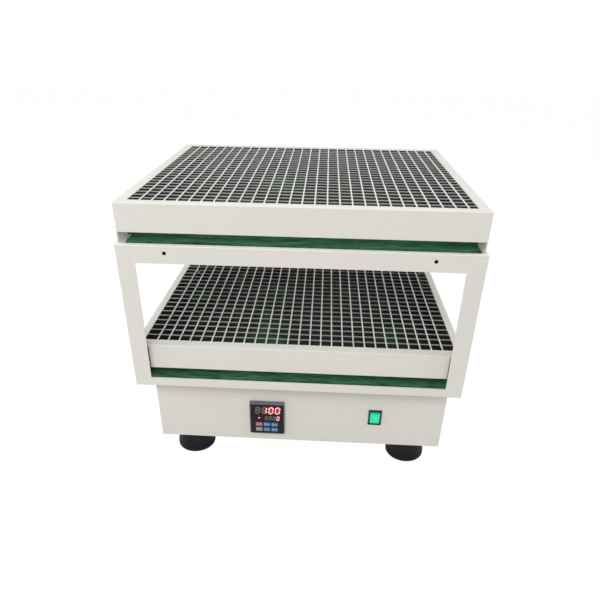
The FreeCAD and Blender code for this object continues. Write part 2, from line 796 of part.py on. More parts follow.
def grooved_pulley(label, diameter, bore, x, y):
    body = new_body(label)
    rim = f"{diameter} / 2"
    middle = "pulley_width / 2"
    revolve(body, [(f"{bore} / 2", "0"), (rim, "0"), (rim, f"{middle} - groove_width / 2"),
                   (f"{rim} - groove_depth", f"{middle} - groove_bottom_width / 2"),
                   (f"{rim} - groove_depth", f"{middle} + groove_bottom_width / 2"),
                   (rim, f"{middle} + groove_width / 2"), (rim, "pulley_width"),
                   (f"{bore} / 2", "pulley_width")])
    return place(body, x, y, "pulley_bottom")


def drive_pulley():
    """The large pulley, with its web thinned between hub and rim."""
    pulley = grooved_pulley("drive_pulley", "pulley_diameter", "shaft_diameter", "base_x", "base_y")
    for plane_offset, turned in (("0", True), ("pulley_width", False)):
        relief = new_sketch(pulley, "XY_Plane", plane_offset)
        circle(relief, "pulley_diameter - 2 * pulley_rim")
        circle(relief, "pulley_hub_diameter")
        pocket(pulley, relief, "(pulley_width - pulley_web) / 2", reverse=turned)
    return pulley


def counterweight():
    """A thick sector that balances the cage, on the side away from the pin."""
    disc = document.addObject("Part::Cylinder", "Disc")
    bind(disc, "Radius", "counterweight_radius")
    bind(disc, "Height", "counterweight_height")
    bind(disc, "Angle", "counterweight_angle")
    sector = cut(disc, cylinder("pulley_hub_diameter", "counterweight_height"))
    bind(sector, ".Placement.Rotation.Angle", "(crank_angle - 180 - counterweight_angle / 2) * 1deg")
    place(sector, "base_x", "base_y", "pulley_top")
    return keep(sector, "counterweight")


def drive_belt():
    """A belt loop: two arcs joined by the tangents, cut from the same outline a belt's depth smaller."""
    inner = value("groove_bottom + belt_clearance"), value("motor_groove_bottom + belt_clearance")
    depth = value("groove_depth - belt_clearance")
    distance = value("motor_distance")

    def outline(big, small):
        lean = (big - small) / distance
        rise = (1 - lean ** 2) ** 0.5
        tangents = []
        for side in (1, -1):
            tangents.append([FreeCAD.Vector(-lean * radius + shift, side * rise * radius, 0)
                             for radius, shift in ((big, 0), (small, -distance))])
        return tangents

    def face(big, small):
        (top_big, top_small), (low_big, low_small) = outline(big, small)
        edges = [Part.makeLine(top_big, top_small),
                 Part.Arc(top_small, FreeCAD.Vector(-distance - small, 0, 0), low_small).toShape(),
                 Part.makeLine(low_small, low_big),
                 Part.Arc(low_big, FreeCAD.Vector(big, 0, 0), top_big).toShape()]
        return Part.Face(Part.Wire(edges))

    ring = face(inner[0] + depth, inner[1] + depth).cut(face(*inner))
    belt = document.addObject("Part::Feature", "drive_belt")
    belt.Shape = ring.extrude(FreeCAD.Vector(0, 0, value("belt_height")))
    place(belt, "base_x", "base_y", "pulley_bottom + (pulley_width - belt_height) / 2")
    return keep(belt, "drive_belt")


def motor():
    body = new_body("motor_body")
    can, boss = "motor_diameter / 2", "motor_shaft_diameter / 2 + motor_boss_wall"
    bore = "motor_shaft_diameter / 2 + running_clearance"
    lid = "motor_height - motor_boss_height"
    floor = "motor_height - motor_bore_depth"
    revolve(body, [("0", "0"), (f"{can} - motor_foot_chamfer", "0"), (can, "motor_foot_chamfer"),
                   (can, f"{lid} - motor_shoulder"), (f"{can} - motor_shoulder", lid), (boss, lid),
                   (boss, "motor_height"), (bore, "motor_height"), (bore, floor), ("0", floor)])
    place(body, "motor_x", "base_y", "floor_top + motor_plate_height")
    plate = new_body("motor_plate")
    outline = new_sketch(plate, "XY_Plane")
    centred_rectangle(outline, "motor_plate_size", "motor_plate_size")
    pad(plate, outline, "motor_plate_height")
    corner = value("motor_plate_size / 2")
    round_edges(plate, "motor_plate_corner", lambda edge: is_vertical(edge)
                and abs(abs(edge.Vertexes[0].X) - corner) < 1e-4)
    place(plate, "motor_x", "base_y", "floor_top")
    shaft_bottom = "motor_top - motor_bore_depth + shaft_end_gap"
    shaft = cylinder("motor_shaft_diameter", f"pulley_top - ({shaft_bottom})", "motor_x", "base_y",
                     shaft_bottom)
    keep(shaft, "motor_shaft")
    grooved_pulley("motor_pulley", "motor_pulley_diameter", "motor_shaft_diameter", "motor_x", "base_y")


# Corner cranks
def idler_pillars():
    pillars = []
    for x, y in idler_corners():
        at_x, at_y = f"base_x + {x}", f"base_y + {y}"
        height = "pillar_top - floor_top"
        solid = fused([cylinder("idler_flange_diameter", "idler_flange_height", at_x, at_y, "floor_top"),
                       cylinder("idler_pillar_diameter", height, at_x, at_y, "floor_top")])
        depth = "idler_shaft_length + idler_bore_margin"
        bore = cylinder("idler_bearing_outside", depth, at_x, at_y, f"pillar_top - ({depth})")
        pillars.append(cut(solid, bore))
    return group("idler_pillars", pillars)


def idler_bearings():
    rings = []
    for x, y in idler_corners():
        for level in ("pillar_top - idler_bearing_width", "pillar_top - idler_shaft_length"):
            rings.append(bearing_ring("idler_bearing_outside", "idler_shaft_diameter",
                                      "idler_bearing_width", f"base_x + {x}", f"base_y + {y}", level))
    return group("idler_bearings", rings)


IDLER_NAMES = ("idler_crank_front_left", "idler_crank_front_right", "idler_crank_rear_left",
               "idler_crank_rear_right")


def idler_crank(label, x, y):
    at_x, at_y = f"base_x + {x}", f"base_y + {y}"
    parts = [cylinder("idler_shaft_diameter", "idler_shaft_length", at_x, at_y,
                      "idler_web_bottom - idler_shaft_length"),
             cylinder("idler_web_diameter", "idler_web_height", at_x, at_y, "idler_web_bottom"),
             cylinder("idler_pin_diameter", "pin_top - web_top", x, y, "web_top")]
    return keep(fused(parts), label)


def bearing_cup(diameter, flange, bearing, x, y):
    """A flanged cup on the underside of the lower deck, bored for a bearing."""
    solid = fused([cylinder(flange, "hub_flange_height", x, y, "deck_underside - hub_flange_height"),
                   cylinder(diameter, "hub_height", x, y, "hub_bottom")])
    seat = cylinder(bearing, "hub_height - hub_flange_height", x, y, "hub_bottom")
    top = cylinder(f"{bearing} - 2 * cup_lip", "hub_height", x, y, "hub_bottom")
    return cut(solid, fused([seat, top]))


def platform_bearings():
    hub = bearing_cup("hub_diameter", "hub_flange_diameter", "pin_bearing_outside", "0", "0")
    keep(hub, "platform_hub")
    seat_top = "deck_underside - hub_flange_height"
    keep(bearing_ring("pin_bearing_outside", "pin_diameter", "pin_bearing_width", "0", "0",
                      f"{seat_top} - pin_bearing_width"), "hub_bearing")
    cups, rings = [], []
    for x, y in idler_corners():
        cups.append(bearing_cup("idler_cup_diameter", "idler_cup_flange", "idler_bearing_outside", x, y))
        rings.append(bearing_ring("idler_bearing_outside", "idler_pin_diameter", "idler_bearing_width",
                                  x, y, f"{seat_top} - idler_bearing_width"))
    group("idler_cups", cups)
    group("cup_bearings", rings)


# Front panel
KEY_NAMES = (("key_set", "key_left", "key_up"), ("key_run", "key_right", "key_down"))


def key_place(row, column):
    return (f"({column} - 1) * key_pitch_across - keys_shift_left",
            f"-keys_drop - ({row} - 0.5) * key_pitch_down")


def controller():
    body = new_body("controller_bezel")
    face = new_sketch(body, "XZ_Plane")
    centred_rectangle(face, "controller_width", "controller_height")
    pad(body, face, "controller_bezel")
    depth = value("controller_bezel")
    round_edges(body, "controller_corner", lambda edge: abs(edge.BoundBox.YLength - depth) < 1e-4)
    round_edges(body, "controller_edge", lambda edge: touches(edge, y=-depth))
    recess = new_sketch(body, "XZ_Plane", "-controller_bezel")
    centred_rectangle(recess, "display_width + 2 * key_clearance", "display_height + 2 * key_clearance",
                      "0", "display_rise")
    pocket(body, recess, "display_depth")
    openings = new_sketch(body, "XZ_Plane", "-controller_bezel")
    centred_rectangle(openings, "display_width - 2 * display_border", "display_height - 2 * display_border",
                      "0", "display_rise")
    for row, names in enumerate(KEY_NAMES):
        for column in range(len(names)):
            x, z = key_place(row, column)
            centred_rectangle(openings, "key_width + 2 * key_clearance",
                              "key_height + 2 * key_clearance", x, z)
    pocket(body, openings, "controller_bezel * 4", symmetric=True)
    place(body, "controller_x", "panel_front", "controller_z")
    display_parts()
    controller_housing()
    for row, names in enumerate(KEY_NAMES):
        for column, name in enumerate(names):
            key(name, *key_place(row, column))


def display_parts():
    """The clear window, and behind it the board that carries the display block."""
    window = new_body("display_window")
    glass = new_sketch(window, "XZ_Plane")
    centred_rectangle(glass, "display_width", "display_height", "0", "display_rise")
    pad(window, glass, "display_depth")
    place(window, "controller_x", "panel_front - controller_bezel + display_depth", "controller_z")
    board = new_body("controller_board")
    outline = new_sketch(board, "XZ_Plane")
    inside = "2 * controller_body_inset + 2 * controller_wall + 2 * panel_clearance"
    centred_rectangle(outline, f"controller_width - ({inside})", f"controller_height - ({inside})")
    pad(board, outline, "board_thickness", reverse=True)
    digits = new_sketch(board, "XZ_Plane")
    border = "2 * display_border + 2 * panel_clearance"
    centred_rectangle(digits, f"display_width - ({border})", f"display_height - ({border})", "0",
                      "display_rise")
    pad(board, digits, "board_front + controller_bezel - display_depth - panel_clearance")
    place(board, "controller_x", "panel_front + board_front", "controller_z")


def controller_housing():
    """An open-fronted case behind the panel, with a plain rear end."""
    body = new_body("controller_housing")
    outline = new_sketch(body, "XZ_Plane")
    width = "controller_width - 2 * controller_body_inset"
    height = "controller_height - 2 * controller_body_inset"
    centred_rectangle(outline, width, height)
    pad(body, outline, "controller_depth", reverse=True)
    inside = new_sketch(body, "XZ_Plane")
    centred_rectangle(inside, f"{width} - 2 * controller_wall", f"{height} - 2 * controller_wall")
    pocket(body, inside, "controller_depth - controller_wall")
    return place(body, "controller_x", "panel_front", "controller_z")


def key(label, x, z):
    """A key cap with rounded corners, which slides in its opening."""
    body = new_body(label)
    face = new_sketch(body, "XZ_Plane")
    centred_rectangle(face, "key_width", "key_height")
    pad(body, face, "controller_bezel + key_proud")
    length = value("controller_bezel + key_proud")
    round_edges(body, "key_corner", lambda edge: abs(edge.BoundBox.YLength - length) < 1e-4)
    return place(body, f"controller_x + {x}", "panel_front", f"controller_z + {z}")


def power_switch():
    """A bezel with the switch body behind it and a well for the rocker."""
    housing = new_body("switch_housing")
    face = new_sketch(housing, "XZ_Plane")
    centred_rectangle(face, "switch_width", "switch_height")
    pad(housing, face, "switch_bezel")
    front = value("-switch_bezel")
    round_edges(housing, "switch_edge", lambda edge: touches(edge, y=front))
    back = new_sketch(housing, "XZ_Plane")
    centred_rectangle(back, "switch_width - switch_lip - 2 * panel_clearance",
                      "switch_height - switch_lip - 2 * panel_clearance")
    pad(housing, back, "switch_body_depth", reverse=True)
    well = new_sketch(housing, "XZ_Plane", "-switch_bezel")
    centred_rectangle(well, "rocker_width + 2 * rocker_clearance",
                      "rocker_sweep + 2 * rocker_clearance")
    pocket(housing, well, "switch_bezel + switch_well")
    place(housing, "switch_x", "panel_front", "switch_z")
    rocker()


def rocker():
    """A paddle with two faces that meet at a shallow valley, tilted to its lit position about its pivot."""
    body = new_body("rocker")
    profile = new_sketch(body, "YZ_Plane")
    half = "rocker_height / 2"
    root, root_half = "rocker_root_depth", "rocker_root_width / 2"
    polygon(profile, [("-rocker_face", f"-{half}"), ("rocker_valley - rocker_face", "0"),
                      ("-rocker_face", half), ("-1", half), (root, root_half), (root, f"-{root_half}"),
                      ("-1", f"-{half}")])
    pad(body, profile, "rocker_width", symmetric=True)
    edges_x = value("rocker_width / 2")
    round_edges(body, "rocker_edge", lambda edge: touches(edge, x=edges_x) or touches(edge, x=-edges_x))
    place(body, "switch_x", "panel_front + rocker_pivot_depth", "switch_z", turn=SIZES["rocker_tilt"],
          axis=(1, 0, 0))
    bind(body, ".Placement.Rotation.Angle", "rocker_tilt * 1deg")
    return body


# Rear fittings and the parts inside
def rear_fittings():
    """A three-pin power inlet and a capped fuse holder, both through the rear panel."""
    centre = "base_x - inlet_left"
    outer_face = "rear_face + inlet_flange"
    width, height = "inlet_barrel_width", "inlet_barrel_height"
    depth = "inlet_barrel_depth + inlet_flange"
    flange = block("inlet_width", "inlet_flange", "inlet_height", centre, "rear_face + inlet_flange / 2",
                   "inlet_z - inlet_height / 2")
    barrel = block(width, depth, height, centre, f"{outer_face} - ({depth}) / 2", f"inlet_z - {height} / 2")
    well = block(f"{width} - 2 * inlet_wall", "inlet_well_depth", f"{height} - 2 * inlet_wall", centre,
                 f"{outer_face} - inlet_well_depth / 2", f"inlet_z - {height} / 2 + inlet_wall")
    pin_y = f"{outer_face} - inlet_well_depth + inlet_pin_length / 2"
    pins = [block("inlet_pin_width", "inlet_pin_length", "inlet_pin_height",
                  f"{centre} + {side} * inlet_pin_spacing", pin_y, f"inlet_z + {lift} - inlet_pin_height / 2")
            for side, lift in ((-1, "-2"), (0, "3"), (1, "-2"))]
    keep(fused([cut(fused([flange, barrel]), well)] + pins), "power_inlet")
    fuse_x = f"{centre} + fuse_offset"
    keep(fused([cylinder("fuse_diameter + 4", "fuse_flange", fuse_x, "rear_face", "inlet_z", axis="y"),
                cylinder("fuse_diameter", "fuse_body_depth", fuse_x, "rear_face - fuse_body_depth",
                         "inlet_z", axis="y"),
                cylinder("fuse_diameter - 1", "fuse_cap_height", fuse_x, "rear_face", "inlet_z",
                         axis="y")]),
         "fuse_holder")


def rear_panel_screws():
    screws = []
    for x, z in panel_screw_places():
        at_x, at_z = f"base_x + {x}", f"foot_height + {z}"
        screws.append(fused([
            cylinder("panel_screw_head", "panel_screw_head_height", at_x, "rear_face", at_z, axis="y"),
            cylinder("panel_screw_diameter", "panel_screw_length", at_x, "rear_face - panel_screw_length",
                     at_z, axis="y"),
        ]))
    return group("rear_panel_screws", screws)


def power_parts():
    """The transformer and the drive board, on the floor plate at the right."""
    centre = "base_x + electronics_x"
    transformer_y = "base_y - transformer_forward"
    core = block("core_width", "core_depth", "core_height", centre, transformer_y, "floor_top")
    coil = block("coil_width", "coil_depth", "coil_height", centre, transformer_y,
                 "floor_top + (core_height - coil_height) / 2")
    keep(fused([core, coil]), "transformer")
    board_y = "base_y + drive_board_backward"
    board = block("drive_board_width", "drive_board_depth", "board_thickness", centre, board_y,
                  "floor_top + drive_board_rise")
    across, along = "(drive_board_width / 2 - board_post_inset)", "(drive_board_depth / 2 - board_post_inset)"
    posts = [cylinder("board_post_diameter", "drive_board_rise", f"{centre} {side} {across}",
                      f"{board_y} {end} {along}", "floor_top") for side in "-+" for end in "-+"]
    sink = block("heat_sink_width", "heat_sink_depth", "heat_sink_height", centre,
                 "base_y + heat_sink_backward", "floor_top + drive_board_rise + board_thickness")
    keep(fused([board, sink] + posts), "drive_board")


def build():
    window_frame("front_frame", None)
    window_frame("rear_frame", 180)
    deck_plate("upper_deck_plate", "upper_deck", "upper_rail_height")
    deck_plate("lower_deck_plate", "lower_deck", "lower_rail_height")
    deck_stiffeners()
    for name, is_between_posts in (("upper", False), ("lower", True)):
        tray(name, is_between_posts)
        wire_mesh(name)
        mat(name)
    platform_bearings()
    base_shell()
    rear_panel()
    floor_plate()
    for name, (x, y) in zip(FOOT_NAMES, foot_places()):
        foot(name, x, y)
    foot_bolts()
    drive_housing()
    drive_bearings()
    crankshaft()
    drive_pulley()
    counterweight()
    drive_belt()
    motor()
    idler_pillars()
    idler_bearings()
    for name, (x, y) in zip(IDLER_NAMES, idler_corners()):
        idler_crank(name, x, y)
    controller()
    power_switch()
    rear_fittings()
    rear_panel_screws()
    power_parts()
    document.recompute()


def check():
    for item in document.Objects:
        for word in ("Invalid", "Error"):
            if word in item.State:
                raise ValueError(f"{item.Label} is {word}")
    for item in sub_parts:
        if item.Shape.isNull() or not item.Shape.isValid():
            raise ValueError(f"{item.Label} has no valid shape")


def write():
    os.makedirs(PARTS_FOLDER, exist_ok=True)
    for item in sub_parts:
        item.Shape.exportStep(os.path.join(PARTS_FOLDER, f"{item.Label}.step"))


build()
check()
write()
print(f"{len(sub_parts)} sub-parts written")
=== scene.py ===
import json
import math

import bmesh
import bpy
from mathutils import Matrix, Vector
from mathutils.bvhtree import BVHTree


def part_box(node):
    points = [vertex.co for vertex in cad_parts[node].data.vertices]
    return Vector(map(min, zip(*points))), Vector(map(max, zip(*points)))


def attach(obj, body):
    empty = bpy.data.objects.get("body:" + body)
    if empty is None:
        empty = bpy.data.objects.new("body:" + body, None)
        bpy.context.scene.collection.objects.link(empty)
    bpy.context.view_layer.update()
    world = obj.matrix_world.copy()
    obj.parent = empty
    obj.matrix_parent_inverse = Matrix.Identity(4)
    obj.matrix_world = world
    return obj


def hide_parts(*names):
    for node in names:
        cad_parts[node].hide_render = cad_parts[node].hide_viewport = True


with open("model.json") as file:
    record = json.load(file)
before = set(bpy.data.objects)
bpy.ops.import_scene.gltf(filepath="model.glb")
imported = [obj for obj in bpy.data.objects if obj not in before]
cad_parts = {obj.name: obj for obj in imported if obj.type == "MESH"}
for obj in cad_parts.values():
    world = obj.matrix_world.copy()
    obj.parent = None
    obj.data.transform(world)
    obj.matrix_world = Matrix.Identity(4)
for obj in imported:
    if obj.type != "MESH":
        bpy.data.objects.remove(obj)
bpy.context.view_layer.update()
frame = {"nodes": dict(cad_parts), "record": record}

MM = 0.001

# Camera, as real values: a lens for a 36 mm sensor, a place in metres and angles in degrees
LENS = 32.283
SENSOR = 36.0
CAMERA_PLACE = (0.03823, -1.08798, 0.76326)
PITCH_DOWN = 30.128
YAW = -3.005
ROLL = 0.698
SHIFT_RIGHT = 0.00913
SHIFT_UP = 0.07674

# Colours, as linear red, green and blue
CAGE_CREAM = (0.752, 0.740, 0.690)
BASE_CREAM = (0.742, 0.728, 0.676)
# Near black painted shade inside the trays, on the decks within them and round the mats
INSIDE_SHADE_BLACK = (0.034, 0.036, 0.034)
ZINC = (0.62, 0.62, 0.60)
# Painted highlight on the top wires and painted shade on the cross wires, both of the same zinc
TOP_WIRE_HIGHLIGHT_ZINC = (0.88, 0.88, 0.86)
CROSS_WIRE_SHADE_ZINC = (0.35, 0.35, 0.345)
STEEL = (0.50, 0.50, 0.49)
CAST_IRON = (0.095, 0.100, 0.105)
ALUMINIUM = (0.68, 0.68, 0.70)
MAT_GREEN = (0.037, 0.138, 0.065)
# Near black painted shade on the mats behind their front edges
MAT_SHADE_DARK = (0.020, 0.024, 0.021)
RUBBER_BLACK = (0.007, 0.007, 0.009)
BELT_BLACK = (0.020, 0.020, 0.020)
MOTOR_GREY = (0.055, 0.060, 0.070)
CASE_BLACK = (0.010, 0.010, 0.013)
STRIP_GREY = (0.140, 0.150, 0.175)
OUTLINE_GREY = (0.090, 0.095, 0.105)
LENS_RED_BLACK = (0.012, 0.004, 0.006)
LENS_GLOW = (0.30, 0.012, 0.020)
DIGIT_LIT = (1.0, 0.34, 0.36)
DIGIT_PINK = (1.0, 0.46, 0.50)
DIGIT_DIM = (0.150, 0.145, 0.155)
KEY_GREEN = (0.170, 0.320, 0.165)
KEY_RED = (0.520, 0.075, 0.100)
KEY_BLUE = (0.045, 0.180, 0.430)
BEZEL_GREEN_BLACK = (0.003, 0.020, 0.012)
ROCKER_GREEN = (0.010, 0.640, 0.380)
BOARD_GREEN = (0.020, 0.120, 0.050)
TRACK_GREEN = (0.030, 0.170, 0.070)
TRACK_EDGE_GREEN = (0.050, 0.260, 0.110)
VARNISH_BROWN = (0.060, 0.040, 0.028)
# Near black painted shade for the rivet nuts inside the rail holes
HOLE_SHADE_BLACK = (0.012, 0.012, 0.012)
MARK_PALE = (0.620, 0.680, 0.740)
FLOOR_GREY = (0.550, 0.550, 0.540)
WHITE = (1.0, 1.0, 1.0)
COOL_WHITE = (0.96, 0.98, 1.0)
WARM_WHITE = (1.0, 0.99, 0.97)
WARMER_WHITE = (1.0, 0.98, 0.95)

# Sheet metal: a fold is rounded by its radius where both its faces reach far enough
SHEET_NODES = ("front_frame", "rear_frame", "upper_deck_plate", "lower_deck_plate", "upper_tray",
               "lower_tray", "base_shell", "rear_panel")
SHEET = 1.5 * MM
FOLD_RADIUS = 2.0 * MM
FOLD_REACH = 3.2 * MM
RAW_EDGE_RADIUS = 0.35 * MM
SHARP_EDGE = math.radians(32.0)
PROBE = 0.05 * MM
RAIL_HOLES_APART = 440.0 * MM
RAIL_HOLE_DROP = 13.0 * MM

# What the slot under a tray's apron shows, where the painted shade inside a tray stops, and the
# narrow painted shadow round a mat
SLOT_DEPTH = 45.0 * MM
SLOT_HEIGHT = 22.0 * MM
MAT_SHADOW = 2.2 * MM

# Wire meshes: their wires, and how far each mesh lies to the right and to the front, with the seed
# of its waver
WIRE_DIAMETER = 2.5 * MM
WIRE_PITCH = 20.0 * MM
WIRE_COLUMNS, WIRE_ROWS = 27, 23
WIRE_WAVER = 0.6 * MM
MESHES = {"upper_mesh": (3.0 * MM, 3.0 * MM, 3), "lower_mesh": (1.0 * MM, -3.0 * MM, 11)}

# Keys: the heading of the arrow in degrees, or None where a key has two rings
KEY_MARKS = {"key_run": None, "key_set": None, "key_left": -90.0, "key_right": 90.0, "key_up": 0.0,
             "key_down": 180.0}

# Seven-segment digits: which of the bars a to g each figure lights, and how far they lean
BARS = {"0": "abcdef", "1": "bc"}
SLANT = 0.12

# Where the lit digits glow on the lens, in mm from the middle of the controller's face: right, up,
# half width and half height
LIT_AREAS = ((9.8, 19.0, 15.0, 7.0), (21.5, 0.2, 2.6, 4.6))
GLOW_REACH = 3.6 * MM

# Lamps: place, size in metres, power in watts and colour
LAMPS = {
    "ceiling": ((0.0, 0.2, 2.4), (1.6, 1.0), 10.0, WARM_WHITE),
    "front": ((-0.5, -2.0, 1.95), (2.0, 1.2), 33.0, WARMER_WHITE),
    "left": ((-1.95, 0.05, 1.05), (1.8, 1.0), 31.0, WARM_WHITE),
    "right": ((1.95, 0.05, 1.05), (1.8, 1.0), 28.0, WARM_WHITE),
}
LAMP_TARGET = Vector((0.0, 0.0, 0.3))


# Frame helpers
record = frame["record"]
BODY_OF = {node: body for body, nodes in record["behaviour"]["bodies"].items() for node in nodes}
SLOT_OF = {part["node"]: part["material_slot"] for part in record["subparts"]}


def span(node):
    low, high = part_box(node)
    return Vector(low), Vector(high)


def centre_of(node):
    low, high = span(node)
    return (low + high) / 2


# Shader maths: a number on a surface, with Python's operators adding Math nodes
class Level:
    def __init__(self, recipe, socket):
        self.recipe = recipe
        self.socket = socket

    def maths(self, operation, *others):
        terms = enumerate((self, *others))
        return self.recipe.add("ShaderNodeMath", {"operation": operation}, terms)

    def __add__(self, other):
        return self.maths("ADD", other)

    def __sub__(self, other):
        return self.maths("SUBTRACT", other)

    def __mul__(self, other):
        return self.maths("MULTIPLY", other)

    def __pow__(self, other):
        return self.maths("POWER", other)

    def __gt__(self, other):
        return self.maths("GREATER_THAN", other)

    def __lt__(self, other):
        return self.maths("LESS_THAN", other)

    def __abs__(self):
        return self.maths("ABSOLUTE")

    def __neg__(self):
        return self * -1.0

    def __rsub__(self, other):
        return -self + other

    __radd__ = __add__
    __rmul__ = __mul__

    def larger(self, other):
        return self.maths("MAXIMUM", other)

    def smaller(self, other):
        return self.maths("MINIMUM", other)

    def wave(self):
        return self.maths("SINE")

    def clamped(self):
        return self.larger(0.0).smaller(1.0)

    def ramp(self, low, high):
        """0 at low and under, 1 at high and over, and straight between them."""
        return ((self - low) * (1.0 / (high - low))).clamped()


class Recipe:
    """One material: nodes are added by type, settings and sockets, and fed to its main shader."""

    def __init__(self, name):
        self.material = bpy.data.materials.new(name)
        self.material.use_nodes = True
        self.tree = self.material.node_tree
        self.shader = self.tree.nodes["Principled BSDF"]
        self.output = self.tree.nodes["Material Output"]
        self.place = self.add("ShaderNodeTexCoord", output="Object")

    def feed(self, socket, item):
        if isinstance(item, Level):
            self.tree.links.new(item.socket, socket)
        elif hasattr(item, "__len__") and socket.type == "RGBA" and len(item) == 3:
            socket.default_value = (*item, 1.0)
        else:
            socket.default_value = item

    def add(self, kind, settings=None, sockets=(), output=0):
        node = self.tree.nodes.new(kind)
        for name, choice in (settings or {}).items():
            setattr(node, name, choice)
        for name, item in (sockets.items() if isinstance(sockets, dict) else sockets):
            self.feed(node.inputs[name], item)
        return Level(self, node.outputs[output])

    def axes(self, vector=None):
        """The X, Y and Z of a place, each as a level."""
        node = self.tree.nodes.new("ShaderNodeSeparateXYZ")
        self.feed(node.inputs[0], vector or self.place)
        return [Level(self, node.outputs[number]) for number in range(3)]

    def moved(self, origin):
        """Object coordinates counted from a point of the piece."""
        return self.add("ShaderNodeVectorMath", {"operation": "SUBTRACT"},
                        ((0, self.place), (1, tuple(origin))))

    def stretched(self, scale):
        """Object coordinates with each axis scaled."""
        return self.add("ShaderNodeVectorMath", {"operation": "MULTIPLY"},
                        ((0, self.place), (1, scale)))

    def noise(self, scale, detail=2.0, roughness=0.5, vector=None):
        return self.add("ShaderNodeTexNoise", None,
                        {"Vector": vector or self.place, "Scale": scale, "Detail": detail,
                         "Roughness": roughness})

    def cells(self, scale):
        return self.add("ShaderNodeTexVoronoi", None, {"Vector": self.place, "Scale": scale})

    def tint(self, first, second, amount):
        """A colour between two colours."""
        return self.add("ShaderNodeMix", {"data_type": "RGBA"},
                        ((0, amount), (6, first), (7, second)), output=2)

    def shade(self, colour, amount):
        """A colour made lighter or darker by a level near 1."""
        spread = self.add("ShaderNodeCombineXYZ", None, ((0, amount), (1, amount), (2, amount)))
        return self.add("ShaderNodeVectorMath", {"operation": "MULTIPLY"},
                        ((0, colour), (1, spread)))

    def relief(self, height, depth, strength=1.0):
        """A bump of that depth in metres feeds the shader's normal."""
        normal = self.add("ShaderNodeBump", None,
                          {"Height": height, "Distance": depth, "Strength": strength})
        self.feed(self.shader.inputs["Normal"], normal)

    def finish(self, **sockets):
        """Feeds the main shader's sockets, such as base_color for Base Color."""
        for name, item in sockets.items():
            label = name.replace("_", " ").title().replace("Ior", "IOR")
            self.feed(self.shader.inputs[label], item)
        return self.material


# Finishes
def within(recipe, low, high):
    """1 inside a box and 0 outside it."""
    east, north, up = [(level > bottom) * (level < top)
                       for level, bottom, top in zip(recipe.axes(), low, high)]
    return east * north * up


def powder_coat(name, colour, shadow_top=None, shade_boxes=()):
    """Cream powder coat with fine orange peel and faint patches: painted shade makes it a little
    darker up to shadow_top, and near black inside the boxes of painted shade."""
    recipe = Recipe(name)
    patches = recipe.noise(5.0, 3.0)
    specks = recipe.noise(230.0, 1.0)
    amount = 0.965 + patches * 0.05 + specks * 0.02
    if shadow_top is not None:
        height = recipe.axes()[2]
        amount = amount * (1.0 - height.ramp(shadow_top - 40.0 * MM, shadow_top) * 0.05)
    smears = recipe.noise(14.0, 4.0, 0.6).ramp(0.45, 0.75)
    peel = recipe.noise(620.0, 1.0)
    broad = recipe.noise(9.0, 0.0)
    recipe.relief(peel * 0.03 + broad, 0.9 * MM, 0.35)
    tone = recipe.shade(colour, amount)
    # Painted shade: near black inside each of these boxes
    for low, high in shade_boxes:
        tone = recipe.tint(tone, INSIDE_SHADE_BLACK, within(recipe, low, high))
    return recipe.finish(base_color=tone, roughness=0.40 + smears * 0.12,
                         coat_weight=0.10, coat_roughness=0.30)


def tray_coat(tray):
    """Painted shade: the tray is painted near black inside, under its flange, apart from what the
    front slot shows. The boxes of painted shade start inside the thickness of the sheet."""
    low, high = span(tray)
    wall, flange = Vector((0.8, 0.8, 0.0)) * MM, Vector((0.0, 0.0, 1.4)) * MM
    behind_slot = low + wall + Vector((0.0, SLOT_DEPTH, -MM))
    behind_apron = low + wall + Vector((0.0, 0.0, SLOT_HEIGHT))
    top = high - wall - flange
    return powder_coat(f"{tray}_powder_coat", CAGE_CREAM,
                       shade_boxes=[(behind_slot, top), (behind_apron, top)])


def tray_floor_shade(tray):
    """A box of painted shade on the deck inside a tray, behind what the front slot shows."""
    low, high = span(tray)
    return (low + Vector((MM, SLOT_DEPTH, -0.1 * MM)),
            Vector((high.x - MM, high.y - MM, low.z + MM)))


def mat_shadow_box(mat):
    """A box of painted shadow: what lies under a mat, and a narrow line round it."""
    low, high = span(mat)
    line = Vector((MAT_SHADOW, MAT_SHADOW, 0.1 * MM))
    return (low - line, Vector((high.x, high.y, low.z)) + line)


def mesh_zinc(name, node):
    """Zinc wire with painted light: a painted highlight on the wires that lie on top, and painted
    shade on the cross wires under them.
    """
    recipe = Recipe(name)
    # Which wires get the painted highlight, and which get the painted shade
    upper = recipe.axes()[2] > centre_of(node).z
    streaks = recipe.noise(420.0, 2.0)
    spots = recipe.noise(60.0, 3.0).ramp(0.5, 0.8)
    dips = recipe.noise(8.0, 2.0)
    recipe.relief(streaks, 0.05 * MM, 0.3)
    tone = recipe.tint(CROSS_WIRE_SHADE_ZINC, TOP_WIRE_HIGHLIGHT_ZINC, upper)
    amount = 0.84 + streaks * 0.1 + dips * 0.16 - spots * 0.1
    return recipe.finish(base_color=recipe.shade(tone, amount), metallic=0.30,
                         roughness=0.38 + spots * 0.15 + streaks * 0.08)


def plated(name, colour, roughness, along=(1.0, 1.0, 1.0)):
    """Zinc or turned steel, with fine streaks and dull spots."""
    recipe = Recipe(name)
    streaks = recipe.noise(420.0, 2.0, vector=recipe.stretched(along))
    spots = recipe.noise(60.0, 3.0).ramp(0.5, 0.8)
    amount = 0.90 + streaks * 0.14 - spots * 0.08
    recipe.relief(streaks, 0.05 * MM, 0.3)
    return recipe.finish(base_color=recipe.shade(colour, amount), metallic=1.0,
                         roughness=roughness + spots * 0.15 + streaks * 0.08)


